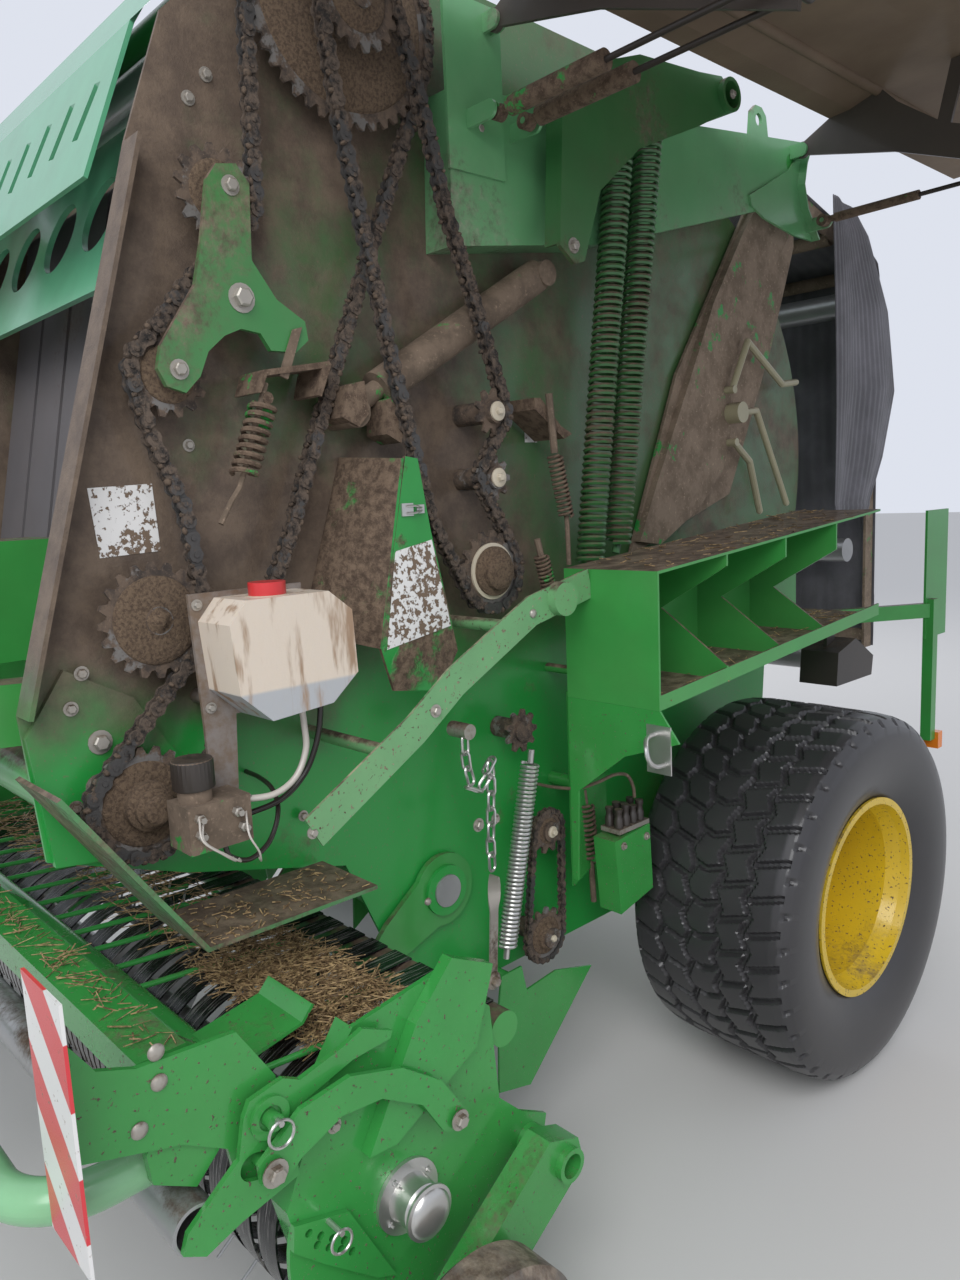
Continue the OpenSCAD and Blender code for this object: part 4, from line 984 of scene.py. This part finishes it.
def bolt_heads(rows, washer=2.5):
    """Hexagon heads on washers, or domes, that stand out to +X."""
    made = []
    for x, y, z, size, domed in rows:
        if domed:
            layers = [([[x, size], [x + 2, size], [x + 5, size * 0.8], [x + 7, size * 0.3]], 16)]
        else:
            top = [[x + washer, size], [x + 2 + size * 0.7, size], [x + 3 + size * 0.8, size * 0.8]]
            layers = [([[x, size * 1.5], [x + washer, size * 1.5]], 16), (top, 6)]
        made += [turned_part(profile, (0, y, z), sides) for profile, sides in layers]
    return made


REEL_AXLE = (-1560, 430)
reel_cap = turned_part([[1142, 50], [1147, 50], [1149, 44], [1154, 41], [1159, 33], [1162, 18]],
                       (0, *REEL_AXLE), 32)
cap_bolts = ring_of_nuts(1086, *REEL_AXLE, 54, 4, 6, 6, start=0.6)
piece("chassis_bolts", bolt_heads(CHASSIS_BOLTS), "chassis", "bolt")
piece("pickup_bolts", both_sides(bolt_heads(PICKUP_BOLTS)), "pickup", "bolt")
piece("reel_caps", both_sides([reel_cap, cap_bolts]), "pickup", "zinc")

# %% [markdown]
# ## Hoses and thin lines
#
# A milky hose feeds the pump from the bottom of the tank and a black one runs behind it.
# Three thin lines leave a bundle under the pump and go up into it. Simulated hoses would
# sag anywhere, so each route is a few listed points, smoothed by a curve that passes
# through all of them.

# %% Hoses


def smoothed(points, per_span=10):
    """Catmull-Rom curve through all points. Between b and c, with a before and d after, it is half of
    2b + (c - a) t + (2a - 5b + 4c - d) t squared + (3b - a - 3c + d) t cubed, for t from 0 to 1."""
    p = np.asarray(points, float)
    p = np.concatenate([2 * p[:1] - p[1:2], p, 2 * p[-1:] - p[-2:-1]])[:, None]
    a, b, c, d = p[:-3], p[1:-2], p[2:-1], p[3:]
    t = np.linspace(0, 1, per_span, endpoint=False)[:, None]
    square = 2 * a - 5 * b + 4 * c - d
    cube = 3 * b - a - 3 * c + d
    curve = 0.5 * (2 * b + (c - a) * t + square * t ** 2 + cube * t ** 3)
    return np.concatenate([curve.reshape(-1, 3), p[-2]])


def hose(name, points, diameter, finish):
    """A cord: a round tube along the smoothed route, both ends in the object."""
    path = smoothed(points)
    made = piece(name, tube(path, diameter / 2, 8), "chassis", finish, crease=60)


hose("tank_hose", [(800, -1530, 1299), (800, -1526, 1255), (803, -1528, 1205), (806, -1556, 1158),
                   (806, -1605, 1136), (800, -1669, 1140)], 13, "milky")
hose("black_hose", [(790, -1478, 1320), (790, -1482, 1260), (788, -1495, 1205), (784, -1525, 1150),
                    (780, -1580, 1112), (775, -1669, 1100)], 12, "black_gloss")
hose("bundle", [(822, -1722, 1077), (822, -1712, 1050), (818, -1672, 1032), (806, -1622, 1050),
                (780, -1585, 1092), (735, -1568, 1122), (675, -1560, 1132), (617, -1558, 1134)],
     10, "black_gloss")
THIN_LINES = [(-1712, 1050, 40, -1790), (-1700, 1044, 30, -1782), (-1660, 1034, 34, -1700)]
for number, (y, z, bulge, far_y) in enumerate(THIN_LINES):
    hose(f"thin_line_{number}", [
        (830, y, z), (834 + bulge * 0.6, y - 10, z + 4), (834 + bulge, (y + far_y) / 2, z + 28),
        (834 + bulge, far_y + 4, z + 62), (834 + bulge * 0.4, far_y + 12, z + 90), (833, far_y + 20, z + 94),
    ], 4, "milky")

# %% [markdown]
# ## Pump and tank fittings
#
# A black knurled cap with dust on its top, small dull fittings on the pump, the rim under
# the red cap and a short outlet under the tank. A texture could fake the knurl, but its
# outline would stay round. So the cap's radius swings between two values as the angle goes
# round.

# %% Pump and tank fittings


def knurled_cap(x, y, z0, z1, radius, ridges=30):
    """A cap about Z whose radius is raised by 1.2 mm on every second column."""
    rows = np.array([[z0, 0.97], [z0 + 2, 1.0], [z1 - 3, 1.0], [z1, 0.93]])
    angle = np.linspace(0, 2 * np.pi, ridges * 2, endpoint=False)
    r = radius * rows[:, 1:] + 1.2 * (np.arange(ridges * 2) % 2)
    return loft(np.stack([x + r * np.cos(angle), y + r * np.sin(angle),
                          np.broadcast_to(rows[:, :1], r.shape)], -1))


piece("pump_cap", knurled_cap(792, -1755, 1183, 1236, 36), "chassis", "black")
side_fittings = [turned_part([[834, 9], [846, 9], [848, 6], [856, 6]], (0, y, z), 6)
                 for y, z in ((-1772, 1140), (-1772, 1110), (-1700, 1135), (-1690, 1105))]
rear_fittings = [turned_part([[-1670, 8], [-1655, 8], [-1650, 6]], (x, 0, z), 6, axis=1)
                 for x, z in ((800, 1140), (775, 1100))]
piece("pump_fittings", side_fittings + rear_fittings, "chassis", "bolt")
piece("tank_outlet", [turned_part([[1280, 9], [1300, 9], [1302, 12]], (800, -1530, 0), 12, axis=2),
                      turned_part([[1505, 40], [1511, 40]], (812, -1590, 0), 24, axis=2)],
      "chassis", "cream")

# %% [markdown]
# ## Labels without words
#
# Where the real machine has labels stuck on it, blank white film shows the same wear: it
# has flaked in specks and dust has covered parts. Each is a slab less than a millimetre
# thick, because a flat face would vanish in the wall behind it.

# %% Labels
LABELS = [
    ("wall_label", [[-1820, 1715], [-1700, 1720], [-1695, 1595], [-1810, 1590]], 616.4, 617.2, "film_worn"),
    ("shield_label", [[-1282, 1566], [-1184, 1584], [-1142, 1396], [-1318, 1368]], 801.2, 802, "film"),
    ("beam_label", [[-700, 1880], [-655, 1880], [-655, 1800], [-700, 1800]], 616.4, 617, "film_worn"),
]
for name, outline, back, face, finish in LABELS:
    piece(name, slab(outline, back, face), "chassis", finish)

# %% [markdown]
# ## Latch, handles and couplers
#
# A toggle latch closes the label shield, a bent handle stands on the front of the fender,
# and four pairs of black couplers stand on the lid of their green cover, with one line
# plugged in. Bent rods are tubes along a smoothed route, as the hoses are, and a ring pin is
# a tube whose route is a circle.

# %% Latch, handles and couplers


def rod_handle(points, radius):
    """A round rod along a smoothed route."""
    return tube(smoothed(points, 6), radius, 8)


piece("latch", [
    block((801, -1262, 1636), (806, -1232, 1662)), block((801, -1222, 1640), (805, -1202, 1658)),
    rod_handle([(806, -1250, 1656), (811, -1228, 1656), (808, -1212, 1652)], 2.5),
    rod_handle([(806, -1250, 1642), (811, -1228, 1642), (808, -1212, 1646)], 2.5),
], "chassis", "zinc")
piece("fender_handle", [
    rod_handle([(1085, -804, 1128), (1090, -840, 1126), (1105, -862, 1108), (1112, -862, 1084),
                (1112, -838, 1066), (1112, -804, 1062)], 5.5),
    block((1065, -808, 1040), (1130, -804, 1150)),
], "chassis", "zinc")
COUPLERS = [(-648, 0), (-620, 6), (-590, -4), (-562, 4)]
piece("couplers", [block((804, -664, 800), (866, -541, 812))], "chassis", "bolt")
piece("coupler_plugs", [
    turned_part([[812, 12], [836, 12], [840, 9], [852, 9], [856, 11], [862 + rise, 11]],
                (x, y, 0), 12, axis=2)
    for y, rise in COUPLERS for x in (820, 850)
], "chassis", "black")
hose("coupler_line", [(835, -562, 869), (835, -567, 900), (835, -592, 936), (833, -642, 948),
                      (820, -692, 938), (780, -722, 922), (700, -732, 912), (617, -734, 910)],
     9, "dust_smooth")


def ring_pin(x, y, z, radius, wire=2.6):
    """A wire ring that hangs from the point, square to X."""
    a = np.linspace(0, 2 * np.pi, 20, endpoint=False)
    ring = np.column_stack([np.full(20, x), y + radius * np.sin(a), z - radius + radius * np.cos(a)])
    return tube(ring, wire, 6, closed=True)


piece("ring_pins", both_sides([
    ring_pin(1136, -1828, 742, 22), ring_pin(1130, -1732, 492, 20),
    tube([(1104, -1828, 738), (1140, -1828, 738)], 5), tube([(1092, -1732, 488), (1134, -1732, 488)], 5),
]), "pickup", "zinc")

# %% [markdown]
# ## Safety chain, strap and long silver spring
#
# A zinc link chain hangs beside the long silver spring that helps to lift the pickup. A
# link is a stadium shaped ring: two half circles joined by straight sides. Every second
# link is turned by a quarter about the chain's line. A simulation could hang the chain, but
# a route of chosen points keeps its loops where the real one has them.

# %% Chain, strap and spring


def ring_link(length, width, wire):
    """Stadium ring in the (along, across) plane."""
    a = np.radians(np.linspace(-80, 80, 7))
    half, r = length / 2 - width / 2, width / 2
    right = np.column_stack([half + r * np.cos(a), r * np.sin(a)])
    ring = np.concatenate([right, -right])
    return tube(np.column_stack([ring, np.zeros(len(ring))]), wire, 6, closed=True)


def link_chain(points, length=46, width=22, wire=3.6):
    """Ring links along a line, one every 0.8 of a link's length."""
    centre = points_at(points, np.arange(length / 2, run_along(points)[-1], length * 0.80))
    ahead = unit(np.gradient(centre, axis=0))
    side = unit(np.cross(ahead, [1.0, 0.2, 0.1]))
    other = np.cross(ahead, side)
    even = (np.arange(len(centre)) % 2 == 0)[:, None]
    axes = np.stack([ahead, np.where(even, side, other), np.where(even, other, side)], 1)
    return copies(ring_link(length, width, wire), centre, axes)


def strap():
    """A flat band 30 mm wide that hangs down and turns by 100 degrees in its upper third."""
    t = np.linspace(0, 1, 24)[:, None]
    line = np.array([790, -1036, 790]) + t * np.array([6, -24, -240])
    turn = np.radians(100 * np.clip(t * 3, 0, 1))
    wide = np.concatenate([np.cos(turn), np.sin(turn), 0 * turn], 1)
    thick = np.concatenate([-np.sin(turn), np.cos(turn), 0 * turn], 1)
    corners = ((-1, -1), (1, -1), (1, 1), (-1, 1))
    return loft(np.stack([line + a * 15 * wide + b * 2 * thick for a, b in corners], 1))


piece("safety_chain", link_chain([
    (784, -1102, 1142), (786, -1104, 1080), (790, -1090, 1012), (794, -1058, 1020),
    (792, -1034, 1070), (792, -1036, 1000), (792, -1046, 850), (790, -1038, 790),
]), "chassis", "zinc")
piece("strap", strap(), "chassis", "bolt")
piece("strap_bolt", [turned_part([[770, 22], [800, 22], [803, 18]], (0, -1062, 540), 20),
                     turned_part([[803, 13], [812, 13], [815, 10]], (0, -1062, 540), 6),
                     turned_part([[740, 18], [800, 18]], (0, -1100, 1150), 16)], "chassis", "bolt")
piece("silver_spring", [coil((786, -898, 1030), (786, -1000, 600), 20, 4.2, 44),
                        tube([(786, -892, 1062), (786, -898, 1030)], 8),
                        tube([(786, -1000, 600), (786, -1006, 570)], 8)], "chassis", "zinc")
hanging = link_chain([(940, -1925, 842), (940, -1925, 780), (940, -1925, 690)], 40, 20, 3.5)
piece("hanging_chain", hanging, "wind_guard", "chain")

# %% [markdown]
# ## Comb of the wind guard
#
# Short black rubber fingers hang side by side below the wind guard's channel and hold the
# crop down. Straw lies on the ledge above them. The fingers are all alike, so one is made
# of three rings and copied at equal steps.

# %% Comb
FINGER_STEP = 25
fingers_x = np.arange(-900, 901, FINGER_STEP)
finger = loft(np.array([[[-9, 0, 0], [9, 0, 0], [9, 5, 0], [-9, 5, 0]],
                        [[-9, 2, -35], [9, 2, -35], [9, 7, -35], [-9, 7, -35]],
                        [[-7, 7, -62], [7, 7, -62], [7, 11, -62], [-7, 11, -62]]], float))
piece("comb", copies(finger, [(x, -1976, 792) for x in fingers_x]), "wind_guard", "black_gloss")

# %% [markdown]
# ## Straw
#
# Broken stalks lie wherever crop passes: on the drip tray, in the twine boxes, on the wind
# guard's ledge and heaped at the mouth of the pickup. Hair could scatter them, but it leaves
# no mesh of its own. So a stalk is a thin three-sided tube, placed at random in a box and
# turned at random, mostly level.

# %% Straw


def stalks(count, low, high, seed, slope=(0.0, 0.0), length=(18, 70), lean=0.18):
    """Stalks between two corners; slope is the rise of the surface for each mm of x and of y."""
    draw = np.random.default_rng(seed)
    low, high = np.asarray(low, float), np.asarray(high, float)
    spots = draw.uniform(low, high, (count, 3))
    spots[:, 2] += (spots[:, 0] - low[0]) * slope[0] + (spots[:, 1] - low[1]) * slope[1]
    turn = draw.uniform(0, 2 * np.pi, count)
    rise = draw.normal(0, lean, count) + slope[0] * np.cos(turn) + slope[1] * np.sin(turn)
    ahead = unit(np.stack([np.cos(turn), np.sin(turn), rise], 1))
    side = unit(np.cross(ahead, [0, 0, 1.0]))
    long = draw.uniform(*length, (count, 1))
    thick = draw.uniform(0.7, 1.7, (count, 1))
    axes = np.stack([ahead * long, side * thick, np.cross(ahead, side) * thick], 1)
    stalk = loft(np.array([[[end, np.cos(a), np.sin(a)] for a in (0.0, 2.1, 4.2)] for end in (-0.5, 0.5)]))
    return copies(stalk, spots, axes)


BOX_FLOOR = (840, -780, 1186), (1090, 260, 1196)
BOX_SLOPE = (0, 0.0815)
piece("straw_on_tray", stalks(170, (650, -1765, 901), (825, -1405, 904), 3, (0, -0.01), (6, 24)),
      "chassis", "straw")
piece("straw_in_boxes", [stalks(150, *BOX_FLOOR, 4, BOX_SLOPE, (15, 60)),
                         mirrored(stalks(120, *BOX_FLOOR, 5, BOX_SLOPE, (15, 60)))], "chassis", "straw")
piece("straw_on_box_lids", stalks(120, (835, -790, 1492), (1095, 260, 1498), 6, BOX_SLOPE, (12, 45)),
      "chassis", "straw")
piece("straw_at_pickup", [
    stalks(900, (-1000, -1690, 738), (1000, -1470, 754), 7, length=(25, 100), lean=0.12),
    stalks(1300, (560, -1690, 732), (1010, -1460, 758), 8, length=(25, 90), lean=0.12),
], "pickup", "straw")
piece("straw_on_ledge", stalks(260, (-990, -1968, 851), (990, -1910, 858), 9, length=(12, 60)),
      "wind_guard", "straw")

# %% [markdown]
# ## Canvas at the rear
#
# A grey canvas flap hangs from the gate's top corner down its rear left edge and keeps the
# chaff in. A cloth simulation would fold it somewhere else on each run, and the photo shows
# where its folds are. So it is a grid: t goes down its length and s across it. Its free edge
# bulges to the rear, two deep folds grow downwards, and fine pleats run along it.

# %% Canvas
CANVAS_THICK = 0.0025
CANVAS_TOP = 2640
CANVAS_HELD = 805
FREE_EDGE = np.array([[2640, 960], [2545, 1110], [2300, 1275], [2005, 1350], [1750, 1265],
                      [1530, 1140]], float)


def canvas():
    """The free edge is interpolated over height; folds are sines of s, pleats shorter sines."""
    t, s = np.meshgrid(np.linspace(0, 1, 110), np.linspace(0, 1, 90), indexing="ij")
    z = CANVAS_TOP - 1110 * t - 25 * s * (1 - t)
    edge = np.interp(-z, -FREE_EDGE[:, 0], FREE_EDGE[:, 1])
    y = CANVAS_HELD + 20 * np.sin(3 * t) + s * (edge - CANVAS_HELD)
    deep = 16 * np.sin(2 * np.pi * (1.6 * s + 0.25 * t)) * (0.3 + 0.7 * t)
    pleat = 1.8 * np.sin(2 * np.pi * 17 * s + 2 * t)
    hem = 4 * smooth_step(t, 0.955, 0.962)
    x = 676 + deep + pleat + hem - 12 * s ** 3
    return np.stack([x, y, z], -1)


def cloth(name, grid, stands_for=()):
    """A sheet on the gate, from a grid of points. Its flat width is its area over its length."""
    shape = grid.reshape(-1, 3), quads(*grid.shape[:2], round_row=False)
    made = piece(name, shape, "gate", "canvas", stands_for, crease=70)
    thick = made.modifiers.new("thick", "SOLIDIFY")
    thick.thickness = CANVAS_THICK
    thick.offset = 0


cloth("rear_canvas", canvas())

# %% [markdown]
# ## Curtain over the gate
#
# The gate's top and rear are closed by the same grey canvas, stretched over its frame. It
# follows a bent line in the (y, z) plane, rounded at the corner. Between the sides it
# billows outwards a little, shallow pleats run down it, and a seam crosses it near the foot.
# A flat sheet with bumps would show its straight outline against the sky, so the pleats are
# in the grid itself.

# %% Curtain
CURTAIN_LINE = np.array([[606, 2649], [900, 2573], [1190, 2498], [1236, 2474], [1251, 2430], [1251, 2000],
                         [1251, 1500], [1251, 1002]], float)
CURTAIN_HALF = 640


def curtain():
    """Points on the line at equal steps, pushed out square to it by a billow, pleats and a seam."""
    u = np.linspace(0, 1, 150)
    line = points_at(CURTAIN_LINE, u * run_along(CURTAIN_LINE)[-1])
    ahead = unit(np.gradient(line, axis=0))
    out = np.stack([-ahead[:, 1], ahead[:, 0]], 1)
    t, s = np.meshgrid(u, np.linspace(-1, 1, 190), indexing="ij")
    edge = 1 - s ** 8
    billow = 13 * (1 - s ** 2) * np.sin(np.pi * np.clip((t - 0.34) / 0.66, 0, 1)) ** 0.7
    pleats = 2.2 * np.sin(2 * np.pi * (13 * s + 0.3 * np.sin(5 * t))) * edge * smooth_step(t, 0.02, 0.4)
    seam = 2.5 * smooth_step(t, 0.90, 0.903) - 2.5 * smooth_step(t, 0.925, 0.928)
    push = 1 + (billow + pleats + 2.3) * smooth_step(np.minimum(t, 1 - t), 0, 0.02) + seam
    return np.stack([CURTAIN_HALF * s, line[:, :1] + push * out[:, :1], line[:, 1:] + push * out[:, 1:]], -1)


cloth("gate_canvas", curtain(), ["gate_curtain"])

# %% [markdown]
# ## Floor and light
#
# A plain pale floor and an overcast sky, as in the photo: the world lights everything
# softly and a wide lamp from the front left gives the panels a direction. A weaker one from
# behind keeps the far side readable.

# %% Floor and light
GROUND = -EYE_HEIGHT * MM
FLOOR_REACH = 45.0
floor_mesh = bpy.data.meshes.new("floor")
floor_corners = [(x * FLOOR_REACH, y * FLOOR_REACH, GROUND) for x, y in ((-1, -1), (1, -1), (1, 1), (-1, 1))]
floor_mesh.from_pydata(floor_corners, [], [(0, 1, 2, 3)])
floor_mesh.materials.append(Net("floor", Base_Color=(0.60, 0.59, 0.57), Roughness=0.9).material)
in_scene("floor", floor_mesh)

world = bpy.data.worlds.new("sky")
world.use_nodes = True
sky = world.node_tree.nodes["Background"]
sky.inputs["Color"].default_value = (0.86, 0.90, 1.0, 1)
sky.inputs["Strength"].default_value = 0.85
bpy.context.scene.world = world


def lamp(name, place, target, size, power):
    """A square area lamp at place that points at target."""
    light = bpy.data.lights.new(name, "AREA")
    light.size = size
    light.energy = power
    start = Vector(at(place))
    turned = (Vector(at(target)) - start).to_track_quat("-Z", "Y").to_matrix().to_4x4()
    in_scene(name, light).matrix_world = Matrix.Translation(start) @ turned


lamp("key", (5000, -5500, 6000), (0, 0, 1200), 5.0, 420)
lamp("fill", (-6000, 4000, 5000), (0, 0, 1200), 5.0, 200)
bpy.context.scene.view_settings.view_transform = "Standard"
